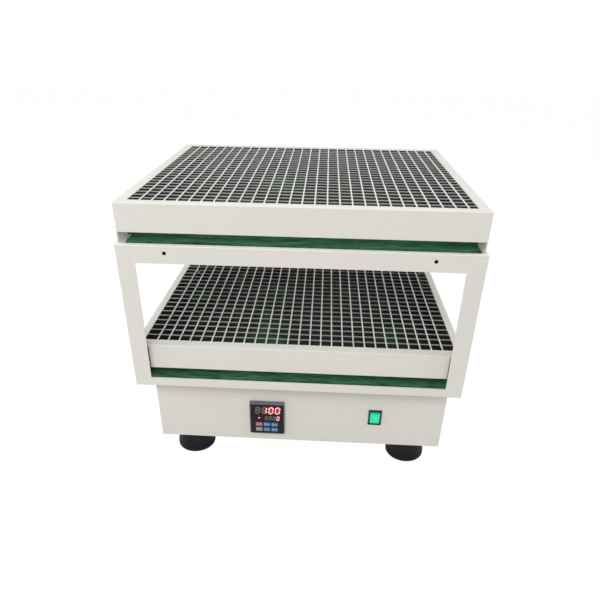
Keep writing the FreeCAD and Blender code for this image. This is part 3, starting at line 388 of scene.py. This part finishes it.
def cast_metal(name, colour):
    """Painted cast iron with a rough grain."""
    recipe = Recipe(name)
    grains = recipe.cells(380.0)
    clouds = recipe.noise(30.0, 4.0)
    recipe.relief(grains, 0.4 * MM, 0.5)
    return recipe.finish(base_color=recipe.shade(colour, 0.8 + clouds * 0.4), metallic=0.6,
                         roughness=0.48 + clouds * 0.2)


def rubber(name, colour, roughness=0.62):
    """Moulded rubber, with a dusty bloom where it is scuffed."""
    recipe = Recipe(name)
    grain = recipe.noise(900.0, 2.0)
    bloom = recipe.noise(26.0, 4.0, 0.65).ramp(0.48, 0.78)
    dusty = tuple(0.10 + level for level in colour)
    recipe.relief(grain, 0.25 * MM, 0.5)
    return recipe.finish(base_color=recipe.tint(colour, dusty, bloom * 0.10),
                         roughness=roughness + bloom * 0.2, specular_ior_level=0.18)


def mat_finish(mat):
    """Ribbed green mat: bright along its front edge, and painted shade behind it, near black with
    patches left green here and there."""
    recipe = Recipe(f"green_{mat}")
    front = span(mat)[0].y
    east, north, _ = recipe.axes()
    rib_pitch, pit_pitch = 3.2 * MM, 2.8 * MM
    ribs = (north * (2.0 * math.pi / rib_pitch)).wave()
    pits = (east * (2.0 * math.pi / pit_pitch)).wave()
    clouds = recipe.noise(11.0, 3.0)
    streaks = recipe.noise(1.0, 4.0, 0.65, vector=recipe.stretched((34.0, 210.0, 1.0)))
    patches = recipe.noise(9.0, 3.0, 0.6).ramp(0.52, 0.68)
    # Painted shade on the mat behind its front edge, broken by patches left green
    shade_mask = north.ramp(front + SLOT_DEPTH, front + 1.6 * SLOT_DEPTH) * (1.0 - patches * 0.50)
    recipe.relief(ribs * 0.5 + pits * 0.25, 0.4 * MM, 0.6)
    green = recipe.shade(MAT_GREEN, 0.30 + clouds * 0.30 + streaks.ramp(0.34, 0.66) * 1.10)
    return recipe.finish(base_color=recipe.tint(green, MAT_SHADE_DARK, shade_mask), roughness=0.85,
                         specular_ior_level=0.12)


def moulded(name, colour, roughness=0.42, grain=0.12 * MM, gloss=0.5):
    """Moulded plastic with a fine spark texture, duller where it is handled."""
    recipe = Recipe(name)
    texture = recipe.cells(1400.0)
    handling = recipe.noise(70.0, 3.0).ramp(0.4, 0.8)
    recipe.relief(texture, grain, 0.4)
    return recipe.finish(base_color=recipe.shade(colour, 0.9 + handling * 0.2),
                         roughness=roughness + handling * 0.12, specular_ior_level=gloss)


def glowing(name, colour, strength, core=None):
    """A lit plastic: it gives its own colour, brighter at its core."""
    recipe = Recipe(name)
    flicker = recipe.noise(160.0, 1.0)
    light = recipe.shade(colour, 0.92 + flicker * 0.16)
    if core is not None:
        centre, reach = core
        east, _, up = recipe.axes(recipe.moved(centre))
        near = 1.0 - ((east * east + up * up) ** 0.5).ramp(0.0, reach)
        light = recipe.shade(colour, 0.62 + near * 0.5 + flicker * 0.1)
    return recipe.finish(base_color=recipe.shade(colour, 0.7 + flicker * 0.1), emission_color=light,
                         emission_strength=strength, roughness=0.25)


def dark_lens(name, colour):
    """Dark red lens, with a red glow round its lit digits."""
    recipe = Recipe(name)
    smudge = recipe.noise(85.0, 4.0, 0.6).ramp(0.4, 0.8)
    cloud = recipe.noise(40.0, 1.0)
    glow = 0.0
    for east, up, half_width, half_height in LIT_AREAS:
        centre = centre_of("controller_bezel") + Vector((east, 0.0, up)) * MM
        across, _, along = recipe.axes(recipe.moved(centre))
        beyond = (abs(across) - half_width * MM).larger(abs(along) - half_height * MM)
        glow = 1.0 - beyond.ramp(0.0, GLOW_REACH) + glow
    return recipe.finish(base_color=recipe.shade(colour, 0.7 + cloud * 0.6),
                         emission_color=recipe.shade(LENS_GLOW, glow), emission_strength=0.35,
                         roughness=0.12 + smudge * 0.18, specular_ior_level=0.22)


def controller_face(name):
    """Black overlay with a grey strip along its top and a thin outline."""
    recipe = Recipe(name)
    low, high = span("controller_bezel")
    half_width, half_height = (high.x - low.x) / 2, (high.z - low.z) / 2
    outline_inset, outline_half_width, blur = 1.6 * MM, 0.3 * MM, 0.2 * MM
    strip_bottom, strip_blur = 32.5 * MM, 0.5 * MM
    east, _, up = recipe.axes(recipe.moved((low + high) / 2))
    edge = (abs(east) - half_width).larger(abs(up) - half_height)
    outline = 1.0 - (abs(edge + outline_inset) - outline_half_width).ramp(0.0, blur)
    grain = recipe.noise(300.0, 2.0)
    strip = up.ramp(strip_bottom, strip_bottom + strip_blur) * (0.75 + grain * 0.5)
    dust = recipe.noise(120.0, 4.0, 0.6).ramp(0.5, 0.8)
    tone = recipe.tint(CASE_BLACK, OUTLINE_GREY, outline * 0.8)
    tone = recipe.tint(tone, STRIP_GREY, strip.clamped())
    return recipe.finish(base_color=tone, roughness=0.32 + dust * 0.2, specular_ior_level=0.22)


def circuit_finish(name):
    """Green board with a pattern of tracks."""
    recipe = Recipe(name)
    tracks = recipe.add("ShaderNodeTexBrick", None,
                        {"Vector": recipe.place, "Scale": 260.0, "Color1": BOARD_GREEN,
                         "Color2": TRACK_GREEN, "Mortar": TRACK_EDGE_GREEN})
    return recipe.finish(base_color=tracks, roughness=0.4)


FINISHES = {
    # The cage paint carries painted shade on the decks inside the trays and a painted shadow round
    # each mat
    "cage_paint": powder_coat("cage_powder_coat", CAGE_CREAM,
                              shade_boxes=[tray_floor_shade("upper_tray"), tray_floor_shade("lower_tray"),
                                          mat_shadow_box("upper_mat"), mat_shadow_box("lower_mat")]),
    "base_paint": powder_coat("base_powder_coat", BASE_CREAM, shadow_top=span("base_shell")[1].z),
    "foot_rubber": rubber("foot_rubber", RUBBER_BLACK),
    "fastener_steel": plated("zinc_fasteners", ZINC, 0.30),
    "cast_housing": cast_metal("cast_housing", CAST_IRON),
    "bearing_steel": plated("ground_steel", STEEL, 0.14),
    "shaft_steel": plated("turned_steel", STEEL, 0.26, along=(1.0, 1.0, 6.0)),
    "pulley_aluminium": plated("turned_aluminium", ALUMINIUM, 0.32, along=(1.0, 1.0, 6.0)),
    "counterweight_iron": cast_metal("counterweight_iron", CAST_IRON),
    "belt_rubber": rubber("belt_rubber", BELT_BLACK, 0.7),
    "motor_paint": moulded("motor_enamel", MOTOR_GREY, 0.35, 0.3 * MM),
    "controller_black": moulded("controller_case", CASE_BLACK, gloss=0.3),
    "display_lens": dark_lens("display_lens", LENS_RED_BLACK),
    "circuit_board": circuit_finish("circuit_board"),
    "key_green": moulded("key_green", KEY_GREEN, 0.35),
    "key_red": moulded("key_red", KEY_RED, 0.35),
    "key_blue": moulded("key_blue", KEY_BLUE, 0.35),
    "switch_black": moulded("switch_moulding", BEZEL_GREEN_BLACK, 0.35, gloss=0.3),
    "rocker_green": glowing("lit_rocker", ROCKER_GREEN, 0.55,
                            core=(centre_of("rocker"), 14.0 * MM)),
    "transformer_iron": cast_metal("varnished_core", VARNISH_BROWN),
}
NODE_FINISHES = {
    "controller_bezel": controller_face("controller_overlay"),
    "upper_tray": tray_coat("upper_tray"),
    "lower_tray": tray_coat("lower_tray"),
    "power_inlet": moulded("inlet_moulding", CASE_BLACK, gloss=0.3),
    "fuse_holder": moulded("fuse_moulding", CASE_BLACK, gloss=0.3),
    "upper_mesh": mesh_zinc("upper_zinc_wire", "upper_mesh"),
    "lower_mesh": mesh_zinc("lower_zinc_wire", "lower_mesh"),
    "upper_mat": mat_finish("upper_mat"),
    "lower_mat": mat_finish("lower_mat"),
}
DIGIT_FINISH = glowing("digit_lit", DIGIT_LIT, 1.15)
PINK_FINISH = glowing("digit_pink", DIGIT_PINK, 0.85)
DIM_FINISH = moulded("digit_dim", DIGIT_DIM, 0.3)
# Painted shade: the rivet nuts are near black so the rail holes look dark
NUT_FINISH = moulded("hole_shade_nut", HOLE_SHADE_BLACK, 0.45)
MARK_FINISH = moulded("key_marks", MARK_PALE, 0.5)


def finish_of(node):
    """A node's own finish, or the one of its material slot."""
    return NODE_FINISHES.get(node) or FINISHES[SLOT_OF[node]]


def dress_cad_nodes():
    """Every solid of the source gets its finish; the pieces below replace some of them."""
    for node, item in frame["nodes"].items():
        item.data.materials.clear()
        item.data.materials.append(finish_of(node))


# Pieces
def add_piece(name, mesh, body, finish):
    """Puts a mesh in the scene as a piece that rides with a body."""
    mesh.name = name
    piece = bpy.data.objects.new(name, mesh)
    bpy.context.scene.collection.objects.link(piece)
    mesh.materials.clear()
    mesh.materials.append(finish)
    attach(piece, body)
    return piece


def add_replacement(name, mesh, node):
    """Puts a mesh in the scene in the place of a node of the source."""
    piece = add_piece(name, mesh, BODY_OF[node], finish_of(node))
    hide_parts(node)


def from_net(net, name, smooth=True):
    """A new mesh from a bmesh, which is freed."""
    mesh = bpy.data.meshes.new(name)
    for face in net.faces:
        face.smooth = smooth
    net.to_mesh(mesh)
    net.free()
    return mesh


def evaluated(item):
    """The item's mesh with its modifiers applied, as a new mesh, and the item removed."""
    depsgraph = bpy.context.evaluated_depsgraph_get()
    mesh = bpy.data.meshes.new_from_object(item.evaluated_get(depsgraph), depsgraph=depsgraph)
    bpy.data.objects.remove(item)
    return mesh


def smoothed(mesh):
    """Curved faces are shaded smooth, and edges over 32 degrees stay sharp."""
    mesh.polygons.foreach_set("use_smooth", [True] * len(mesh.polygons))
    mesh.set_sharp_from_angle(angle=SHARP_EDGE)
    return mesh


def evenly_shaded(mesh, name):
    """The mesh with its flat faces shaded flat right up to their rounded edges."""
    item = bpy.data.objects.new(name, mesh)
    bpy.context.scene.collection.objects.link(item)
    weighting = item.modifiers.new("normals", "WEIGHTED_NORMAL")
    weighting.keep_sharp = True
    weighting.weight = 100
    return evaluated(item)


def on_face(tree, place, normal):
    """True if the shape has a face with that normal at that place."""
    _, hit_normal, _, _ = tree.ray_cast(place + normal * PROBE, -normal, 2.0 * PROBE)
    return hit_normal is not None and hit_normal.dot(normal) > 0.99


def reaches(tree, edge, face, distance):
    """True if the face goes on that far from the middle of its edge, towards its own middle."""
    start, end = (corner.co for corner in edge.verts)
    middle = (start + end) / 2
    inward = face.normal.cross((end - start).normalized())
    away = inward.dot(face.calc_center_median() - middle) < 0.0
    if away and not on_face(tree, middle + inward * 4.0 * PROBE, face.normal):
        inward.negate()
    return on_face(tree, middle + inward * distance, face.normal)


def rounded_sheet(node):
    """A CAD node's shape with its facets joined, its folds rounded and its cut edges broken."""
    net = bmesh.new()
    net.from_mesh(frame["nodes"][node].data)
    bmesh.ops.remove_doubles(net, verts=net.verts, dist=1e-6)
    bmesh.ops.dissolve_limit(net, angle_limit=math.radians(0.5), verts=net.verts, edges=net.edges)
    tree = BVHTree.FromBMesh(net)
    weight = net.edges.layers.float.new("bevel_weight_edge")
    for edge in net.edges:
        if len(edge.link_faces) != 2 or edge.calc_face_angle(0.0) < SHARP_EDGE:
            continue
        fold = edge.is_convex and all(reaches(tree, edge, face, FOLD_REACH)
                                      for face in edge.link_faces)
        edge[weight] = 1.0 if fold else RAW_EDGE_RADIUS / FOLD_RADIUS
    mesh = from_net(net, f"{node}_edges")
    item = bpy.data.objects.new(f"{node}_edges", mesh)
    bpy.context.scene.collection.objects.link(item)
    bevel = item.modifiers.new("edges", "BEVEL")
    bevel.width = FOLD_RADIUS
    bevel.segments = 3
    bevel.limit_method = "WEIGHT"
    bevel.use_clamp_overlap = False
    return evenly_shaded(smoothed(evaluated(item)), f"{node}_shading")


# Geometry Nodes: a small builder, then the trees
class Tree:
    """A Geometry Nodes tree with named inputs, built node by node."""

    def __init__(self, name, inputs):
        self.group = bpy.data.node_groups.new(name, "GeometryNodeTree")
        self.sockets = {}
        kinds = {float: "NodeSocketFloat", int: "NodeSocketInt"}
        self.values = inputs
        for label, value in inputs.items():
            socket = self.group.interface.new_socket(name=label, in_out="INPUT",
                                                     socket_type=kinds[type(value)])
            self.sockets[label] = socket.identifier
        self.group.interface.new_socket(name="Geometry", in_out="OUTPUT",
                                        socket_type="NodeSocketGeometry")
        self.start = self.group.nodes.new("NodeGroupInput")
        self.end = self.group.nodes.new("NodeGroupOutput")

    def given(self, label):
        return self.start.outputs[label]

    def add(self, kind, settings=None, sockets=(), output=0):
        node = self.group.nodes.new(kind)
        for name, choice in (settings or {}).items():
            setattr(node, name, choice)
        for name, item in (sockets.items() if isinstance(sockets, dict) else sockets):
            if isinstance(item, bpy.types.NodeSocket):
                self.group.links.new(item, node.inputs[name])
            else:
                node.inputs[name].default_value = item
        return node.outputs[output]

    def maths(self, operation, *terms):
        return self.add("ShaderNodeMath", {"operation": operation}, enumerate(terms))

    def vector(self, east=0.0, north=0.0, up=0.0):
        return self.add("ShaderNodeCombineXYZ", None, ((0, east), (1, north), (2, up)))

    def join(self, *parts):
        node = self.group.nodes.new("GeometryNodeJoinGeometry")
        for part in reversed(parts):
            self.group.links.new(part, node.inputs[0])
        return node.outputs[0]

    def mesh(self, shape, finish, name):
        """Ends the tree, runs it once and returns the plain mesh."""
        real = self.add("GeometryNodeRealizeInstances", None, {"Geometry": shape})
        coated = self.add("GeometryNodeSetMaterial", None, {"Geometry": real, "Material": finish})
        self.group.links.new(coated, self.end.inputs[0])
        item = bpy.data.objects.new(name, bpy.data.meshes.new(name))
        bpy.context.scene.collection.objects.link(item)
        modifier = item.modifiers.new(name, "NODES")
        modifier.node_group = self.group
        for label, value in self.values.items():
            modifier[self.sockets[label]] = value
        return evaluated(item)


def row_of_wires(tree, count, start, step, length, along, waviness, seed):
    """Wires side by side: each is a straight line with a slight waver and a round section."""
    ends = [tree.vector(**{along: tree.maths("MULTIPLY", length, side)}) for side in (-0.5, 0.5)]
    line = tree.add("GeometryNodeCurvePrimitiveLine", None, {"Start": ends[0], "End": ends[1]})
    fine = tree.add("GeometryNodeResampleCurve", None, {"Curve": line, "Count": 36})
    places = tree.add("GeometryNodeMeshLine", None,
                      {"Count": count, "Start Location": start, "Offset": step})
    copies = tree.add("GeometryNodeInstanceOnPoints", None, {"Points": places, "Instance": fine})
    real = tree.add("GeometryNodeRealizeInstances", None, {"Geometry": copies})
    waver = tree.add("ShaderNodeTexNoise", {"noise_dimensions": "4D"},
                     {"W": float(seed), "Scale": 14.0, "Detail": 1.0}, output=1)
    centred = tree.add("ShaderNodeVectorMath", {"operation": "SUBTRACT"},
                       ((0, waver), (1, (0.5, 0.5, 0.5))))
    sideways = tree.vector(waviness, waviness)
    shift = tree.add("ShaderNodeVectorMath", {"operation": "MULTIPLY"},
                     ((0, centred), (1, sideways)))
    bent = tree.add("GeometryNodeSetPosition", None, {"Geometry": real, "Offset": shift})
    radius = tree.maths("MULTIPLY", tree.given("Wire"), 0.5)
    section = tree.add("GeometryNodeCurvePrimitiveCircle", None,
                       {"Resolution": 12, "Radius": radius})
    return tree.add("GeometryNodeCurveToMesh", None,
                    {"Curve": bent, "Profile Curve": section, "Fill Caps": True})


def wire_mesh(node, shift_right, shift_forward, seed):
    """A welded mesh: front-to-back wires on top of cross wires, and a weld at each crossing."""
    low, high = span(node)
    middle = (low + high) / 2
    tree = Tree(f"{node}_tree", {
        "Columns": WIRE_COLUMNS, "Rows": WIRE_ROWS, "Pitch": WIRE_PITCH, "Wire": WIRE_DIAMETER,
        "Length": high.y - low.y, "Width": high.x - low.x, "Waver": WIRE_WAVER,
    })
    upper = high.z - WIRE_DIAMETER / 2
    lower = low.z + WIRE_DIAMETER / 2
    first_x = shift_right - (WIRE_COLUMNS - 1) / 2 * WIRE_PITCH
    first_y = -shift_forward - (WIRE_ROWS - 1) / 2 * WIRE_PITCH
    pitch_in = tree.given("Pitch")
    lengthways = row_of_wires(tree, tree.given("Columns"), tree.vector(first_x, middle.y, upper),
                              tree.vector(pitch_in), tree.given("Length"), "north",
                              tree.given("Waver"), seed)
    crossways = row_of_wires(tree, tree.given("Rows"), tree.vector(middle.x, first_y, lower),
                             tree.vector(north=pitch_in), tree.given("Width"), "east",
                             tree.given("Waver"), seed + 1)
    size_x = tree.maths("MULTIPLY", pitch_in, WIRE_COLUMNS - 1.0)
    size_y = tree.maths("MULTIPLY", pitch_in, WIRE_ROWS - 1.0)
    grid = tree.add("GeometryNodeMeshGrid", None,
                    {"Size X": size_x, "Size Y": size_y, "Vertices X": tree.given("Columns"),
                     "Vertices Y": tree.given("Rows")})
    place = (shift_right, -shift_forward, (upper + lower) / 2)
    crossings = tree.add("GeometryNodeTransform", None, {"Geometry": grid, "Translation": place})
    bead = tree.add("GeometryNodeMeshIcoSphere", None,
                    {"Radius": tree.maths("MULTIPLY", tree.given("Wire"), 0.52), "Subdivisions": 2})
    welds = tree.add("GeometryNodeInstanceOnPoints", None,
                     {"Points": crossings, "Instance": bead, "Scale": (1.0, 1.0, 0.8)})
    shape = tree.join(lengthways, crossways, welds)
    smooth = tree.add("GeometryNodeSetShadeSmooth", None, {"Geometry": shape})
    mesh = tree.mesh(smooth, finish_of(node), f"{node}_wires")
    add_replacement(f"{node}_wires", smoothed(mesh), node)


# Round pieces
def lathed(profile, centre, name, steps=64):
    """A closed profile of (radius, height) points turned about a vertical axis."""
    net = bmesh.new()
    rings = []
    for step in range(steps):
        angle = 2.0 * math.pi * step / steps
        rings.append([net.verts.new((centre[0] + radius * math.cos(angle),
                                     centre[1] + radius * math.sin(angle), centre[2] + height))
                      for radius, height in profile])
    count = len(profile)
    for step in range(steps):
        here, there = rings[step], rings[(step + 1) % steps]
        for point in range(count):
            following = (point + 1) % count
            net.faces.new((here[point], there[point], there[following], here[following]))
    bmesh.ops.remove_doubles(net, verts=net.verts, dist=1e-7)
    bmesh.ops.recalc_face_normals(net, faces=net.faces)
    return smoothed(from_net(net, name))


def arc(centre_radius, centre_height, radius, start, end, steps=8):
    """Points of an arc in the plane of a lathed profile, with its angles in degrees."""
    points = []
    for step in range(steps + 1):
        angle = math.radians(start + (end - start) * step / steps)
        points.append((centre_radius + radius * math.cos(angle),
                       centre_height + radius * math.sin(angle)))
    return points


def foot(node):
    """A rubber foot: a wide ridged rim at the floor, a soft waist and a rounded shoulder."""
    low, high = span(node)
    outer = (high.x - low.x) / 2
    height = high.z - low.z
    waist = outer - 1.6 * MM
    waist_bottom, waist_top, shoulder = 16.0 * MM, 30.0 * MM, 38.0 * MM
    recess, recess_depth, bore = 13.0 * MM, 14.0 * MM, 4.3 * MM
    floor_radius, top_radius = 3.6 * MM, 3.0 * MM
    groove, ridge_height = 1.1 * MM, 5.2 * MM
    profile = [(recess, 0.0)]
    profile += arc(outer - floor_radius, floor_radius, floor_radius, -90.0, 0.0)
    for ridge in (1, 2):
        profile += arc(outer - 0.1 * MM * ridge, ridge * ridge_height, groove, -80.0, -280.0, 6)
    profile += [(waist, waist_bottom), (waist, waist_top), (outer - 0.4 * MM, shoulder)]
    profile += arc(outer - top_radius, height - top_radius, top_radius, 0.0, 90.0)
    profile += [(bore, height), (bore, recess_depth), (recess, recess_depth)]
    centre = centre_of(node)
    mesh = lathed(profile, (centre.x, centre.y, low.z), f"{node}_rubber")
    add_replacement(f"{node}_rubber", mesh, node)


def rivet_nuts(node, facing):
    """Two blind rivet nuts behind the holes of the upper rail, near black as painted shade inside
    the holes; facing is -1 to the front.
    """
    low, high = span(node)
    outer_face = low.y if facing < 0 else high.y
    flange, body, bore = 4.8 * MM, 4.2 * MM, 2.7 * MM
    length, closed_end, flange_depth = 10.0 * MM, 1.2 * MM, 0.8 * MM
    profile = [(0.0, length), (body - 0.6 * MM, length), (body, length - 0.6 * MM),
               (body, flange_depth), (flange, flange_depth), (flange, 0.0), (bore, 0.0),
               (bore, length - closed_end), (0.0, length - closed_end)]
    lying = Matrix.Rotation(math.radians(90.0 * facing), 4, "X")
    for side, label in ((-1, "left"), (1, "right")):
        name = f"{node}_rivet_nut_{label}"
        mesh = lathed(profile, (0.0, 0.0, 0.0), name, steps=32)
        place = Vector((side * RAIL_HOLES_APART / 2, outer_face - facing * (SHEET + 0.02 * MM),
                        high.z - RAIL_HOLE_DROP))
        mesh.transform(Matrix.Translation(place) @ lying)
        add_piece(name, mesh, BODY_OF[node], NUT_FINISH)


# Pieces of the front panel
def crowned_slab(low, high, name):
    """A slab with rounded corners and edges, and a crowned face towards the front."""
    radius, bulge = 0.9 * MM, 0.35 * MM
    net = bmesh.new()
    bmesh.ops.create_cube(net, size=1.0)
    size = high - low
    middle = (low + high) / 2
    for corner in net.verts:
        corner.co = Vector(tuple(middle[axis] + corner.co[axis] * size[axis] for axis in range(3)))
    bmesh.ops.bevel(net, geom=net.edges[:], offset=radius, segments=4, profile=0.5, affect="EDGES")
    front = [face for face in net.faces if face.normal.y < -0.9]
    bmesh.ops.subdivide_edges(net, edges=list({edge for face in front for edge in face.edges}),
                              cuts=4, use_grid_fill=True)
    for vert in net.verts:
        if vert.co.y < low.y + radius * 0.2:
            across = abs(vert.co.x - middle.x) / (size.x / 2)
            along = abs(vert.co.z - middle.z) / (size.z / 2)
            vert.co.y += bulge * max(across, along) ** 2
    return smoothed(from_net(net, name))


def prisms(outlines, front, thickness, name):
    """Flat marks on the panel side: each outline is a closed row of (x, z) points."""
    net = bmesh.new()
    for outline in outlines:
        fore, aft = [[net.verts.new((x, depth, z)) for x, z in outline]
                     for depth in (front, front + thickness)]
        net.faces.new(fore)
        net.faces.new(reversed(aft))
        for corner in range(len(outline)):
            following = (corner + 1) % len(outline)
            net.faces.new((fore[corner], aft[corner], aft[following], fore[following]))
    bmesh.ops.recalc_face_normals(net, faces=net.faces)
    return from_net(net, name, smooth=False)


def ring(centre, radius, stroke, count=12):
    """A ring as short four-cornered segments, each a row of (x, z) points."""
    segments = []
    for step in range(count):
        first, last = (2.0 * math.pi * (step + end) / count for end in (0.04, 0.96))
        segments.append([(centre[0] + reach * math.cos(angle), centre[1] + reach * math.sin(angle))
                         for reach, angle in ((radius, first), (radius, last),
                                              (radius - stroke, last), (radius - stroke, first))])
    return segments


def arrow(centre, reach, turn):
    """A triangle that points along its turn, in degrees from upright."""
    return [(centre[0] + reach * math.sin(math.radians(turn + corner)),
             centre[1] + reach * math.cos(math.radians(turn + corner)))
            for corner in (0.0, 125.0, 235.0)]


def key_cap(node, turn):
    """A soft key with a crowned face and two printed marks: a ring, and an arrow or a ring."""
    low, high = span(node)
    add_replacement(f"{node}_cap", crowned_slab(low, high, f"{node}_cap"), node)
    middle = (low + high) / 2
    marks_apart, ring_radius, stroke, arrow_reach = 6.0 * MM, 2.5 * MM, 0.75 * MM, 2.1 * MM
    left, right = ((middle.x + side * marks_apart / 2, middle.z) for side in (-1, 1))
    marks = ring(left, ring_radius, stroke)
    if turn is None:
        marks += ring(right, ring_radius, stroke)
    else:
        marks.append(arrow(right, arrow_reach, turn))
    name = f"{node}_mark"
    add_piece(name, prisms(marks, low.y - 0.02 * MM, 0.5 * MM, name), BODY_OF[node],
              MARK_FINISH)


def bar_outline(letter, width, height, stroke):
    """The six corners of one bar, counted from the digit's centre."""
    half_w, half_h, gap = (width - stroke) / 2, (height - stroke) / 2, stroke * 0.12
    level = {"a": half_h, "g": 0.0, "d": -half_h}
    if letter in level:
        length, centre, upright = half_w - gap, (0.0, level[letter]), False
    else:
        side = half_w if letter in "bc" else -half_w
        lift = half_h / 2 if letter in "bf" else -half_h / 2
        length, centre, upright = half_h / 2 - gap, (side, lift), True
    tip = stroke / 2
    corners = [(-length, 0.0), (-length + tip, tip), (length - tip, tip), (length, 0.0),
               (length - tip, -tip), (-length + tip, -tip)]
    if upright:
        corners = [(-y, x) for x, y in corners]
    return [(x + centre[0] + SLANT * (y + centre[1]), y + centre[1]) for x, y in corners]


def digit_row(lit_name, dim_name, figures, left, centre_z, size, stroke, pitch, finish):
    """A row of digits on the lens: a space leaves all the bars of its place dim."""
    front = span("display_window")[0].y - 0.06 * MM
    lit, dim = [], []
    for place, figure in enumerate(figures):
        centre_x = left + pitch * (place + 0.5)
        for letter in "abcdefg":
            outline = [(centre_x + x, centre_z + z) for x, z in bar_outline(letter, *size, stroke)]
            (lit if letter in BARS.get(figure, "") else dim).append(outline)
    for name, outlines, coat in ((lit_name, lit, finish), (dim_name, dim, DIM_FINISH)):
        add_piece(name, prisms(outlines, front, 0.25 * MM, name), "base", coat)


def display():
    """Big speed digits, a row of small ones and a round lamp, on the lens."""
    centre = centre_of("controller_bezel")
    digit_row("speed_digits_lit", "speed_digits_dim", " 100", left=centre.x - 24.7 * MM,
              centre_z=centre.z + 19.0 * MM, size=(10.2 * MM, 16.8 * MM), stroke=2.7 * MM,
              pitch=13.0 * MM, finish=DIGIT_FINISH)
    digit_row("timer_digit_lit", "timer_digits_dim", "   0", left=centre.x - 5.1 * MM,
              centre_z=centre.z + 0.2 * MM, size=(5.8 * MM, 10.8 * MM), stroke=1.7 * MM,
              pitch=7.6 * MM, finish=PINK_FINISH)
    lens_face = span("display_window")[0].y
    turned = (Matrix.Translation((centre.x - 15.7 * MM, lens_face, centre.z + 0.3 * MM))
              @ Matrix.Rotation(math.radians(90.0), 4, "X"))
    net = bmesh.new()
    bmesh.ops.create_uvsphere(net, u_segments=24, v_segments=12, radius=1.6 * MM, matrix=turned)
    for vert in net.verts:
        vert.co.y = lens_face + (vert.co.y - lens_face) * 0.45
    add_piece("status_lamp", from_net(net, "status_lamp"), "base", DIGIT_FINISH)


# Stage, lights and camera
def add_stage():
    """A white floor, which the camera and reflections see as an evenly lit backdrop."""
    net = bmesh.new()
    bmesh.ops.create_grid(net, x_segments=1, y_segments=1, size=9.0)
    mesh = from_net(net, "floor", smooth=False)
    floor = bpy.data.objects.new("floor", mesh)
    bpy.context.scene.collection.objects.link(floor)
    recipe = Recipe("floor_white")
    recipe.finish(base_color=FLOOR_GREY, roughness=0.9)
    glow = recipe.add("ShaderNodeEmission", None, {"Color": WHITE, "Strength": 1.05})
    path = recipe.tree.nodes.new("ShaderNodeLightPath")
    seen = Level(recipe, path.outputs["Is Camera Ray"])
    seen = seen.larger(Level(recipe, path.outputs["Is Glossy Ray"]))
    mixed = recipe.add("ShaderNodeMixShader", None,
                       ((0, seen * 0.93), (1, Level(recipe, recipe.shader.outputs[0])), (2, glow)))
    recipe.tree.links.new(mixed.socket, recipe.output.inputs["Surface"])
    mesh.materials.append(recipe.material)


def add_world():
    """Soft light from all round, in front of a plain white background."""
    world = bpy.data.worlds.new("studio")
    bpy.context.scene.world = world
    world.use_nodes = True
    tree = world.node_tree
    soft, white = tree.nodes["Background"], tree.nodes.new("ShaderNodeBackground")
    for background, colour, strength in ((soft, COOL_WHITE, 0.38), (white, WHITE, 1.0)):
        background.inputs["Color"].default_value = (*colour, 1.0)
        background.inputs["Strength"].default_value = strength
    path = tree.nodes.new("ShaderNodeLightPath")
    either = tree.nodes.new("ShaderNodeMath")
    either.operation = "MAXIMUM"
    tree.links.new(path.outputs["Is Camera Ray"], either.inputs[0])
    tree.links.new(path.outputs["Is Transmission Ray"], either.inputs[1])
    choice = tree.nodes.new("ShaderNodeMixShader")
    tree.links.new(either.outputs[0], choice.inputs[0])
    tree.links.new(soft.outputs[0], choice.inputs[1])
    tree.links.new(white.outputs[0], choice.inputs[2])
    tree.links.new(choice.outputs[0], tree.nodes["World Output"].inputs["Surface"])


def add_lamp(name, place, size, power, colour):
    """A rectangular lamp that points at the object."""
    light = bpy.data.lights.new(name, "AREA")
    light.shape = "RECTANGLE"
    light.size, light.size_y = size
    light.energy = power
    light.color = colour
    lamp = bpy.data.objects.new(name, light)
    lamp.location = place
    lamp.rotation_euler = (LAMP_TARGET - Vector(place)).to_track_quat("-Z", "Y").to_euler()
    bpy.context.scene.collection.objects.link(lamp)


def add_camera():
    """The camera that took the photograph, as fitted to it."""
    pitch, yaw, roll = (math.radians(angle) for angle in (PITCH_DOWN, YAW, ROLL))
    forward = Vector((math.sin(yaw) * math.cos(pitch), math.cos(yaw) * math.cos(pitch),
                      -math.sin(pitch)))
    level = Vector((math.cos(yaw), -math.sin(yaw), 0.0))
    upright = level.cross(forward)
    right = math.cos(roll) * level + math.sin(roll) * upright
    above = -math.sin(roll) * level + math.cos(roll) * upright
    lens = bpy.data.cameras.new("camera")
    lens.lens = LENS
    lens.sensor_width = SENSOR
    lens.shift_x = SHIFT_RIGHT
    lens.shift_y = SHIFT_UP
    lens.clip_start = 0.05
    camera = bpy.data.objects.new("camera", lens)
    turn = Matrix((right, above, -forward)).transposed()
    camera.matrix_world = Matrix.Translation(CAMERA_PLACE) @ turn.to_4x4()
    bpy.context.scene.collection.objects.link(camera)
    bpy.context.scene.camera = camera


add_camera()
add_stage()
add_world()
for lamp_name, lamp_values in LAMPS.items():
    add_lamp(lamp_name, *lamp_values)
bpy.context.scene.view_settings.view_transform = "Standard"

dress_cad_nodes()
for sheet_node in SHEET_NODES:
    add_replacement(f"{sheet_node}_sheet", rounded_sheet(sheet_node), sheet_node)
for mesh_node, mesh_values in MESHES.items():
    wire_mesh(mesh_node, *mesh_values)
rivet_nuts("front_frame", -1)
rivet_nuts("rear_frame", 1)
for foot_node in ("foot_front_left", "foot_front_right", "foot_rear_left", "foot_rear_right"):
    foot(foot_node)
for key_node, key_mark in KEY_MARKS.items():
    key_cap(key_node, key_mark)
display()
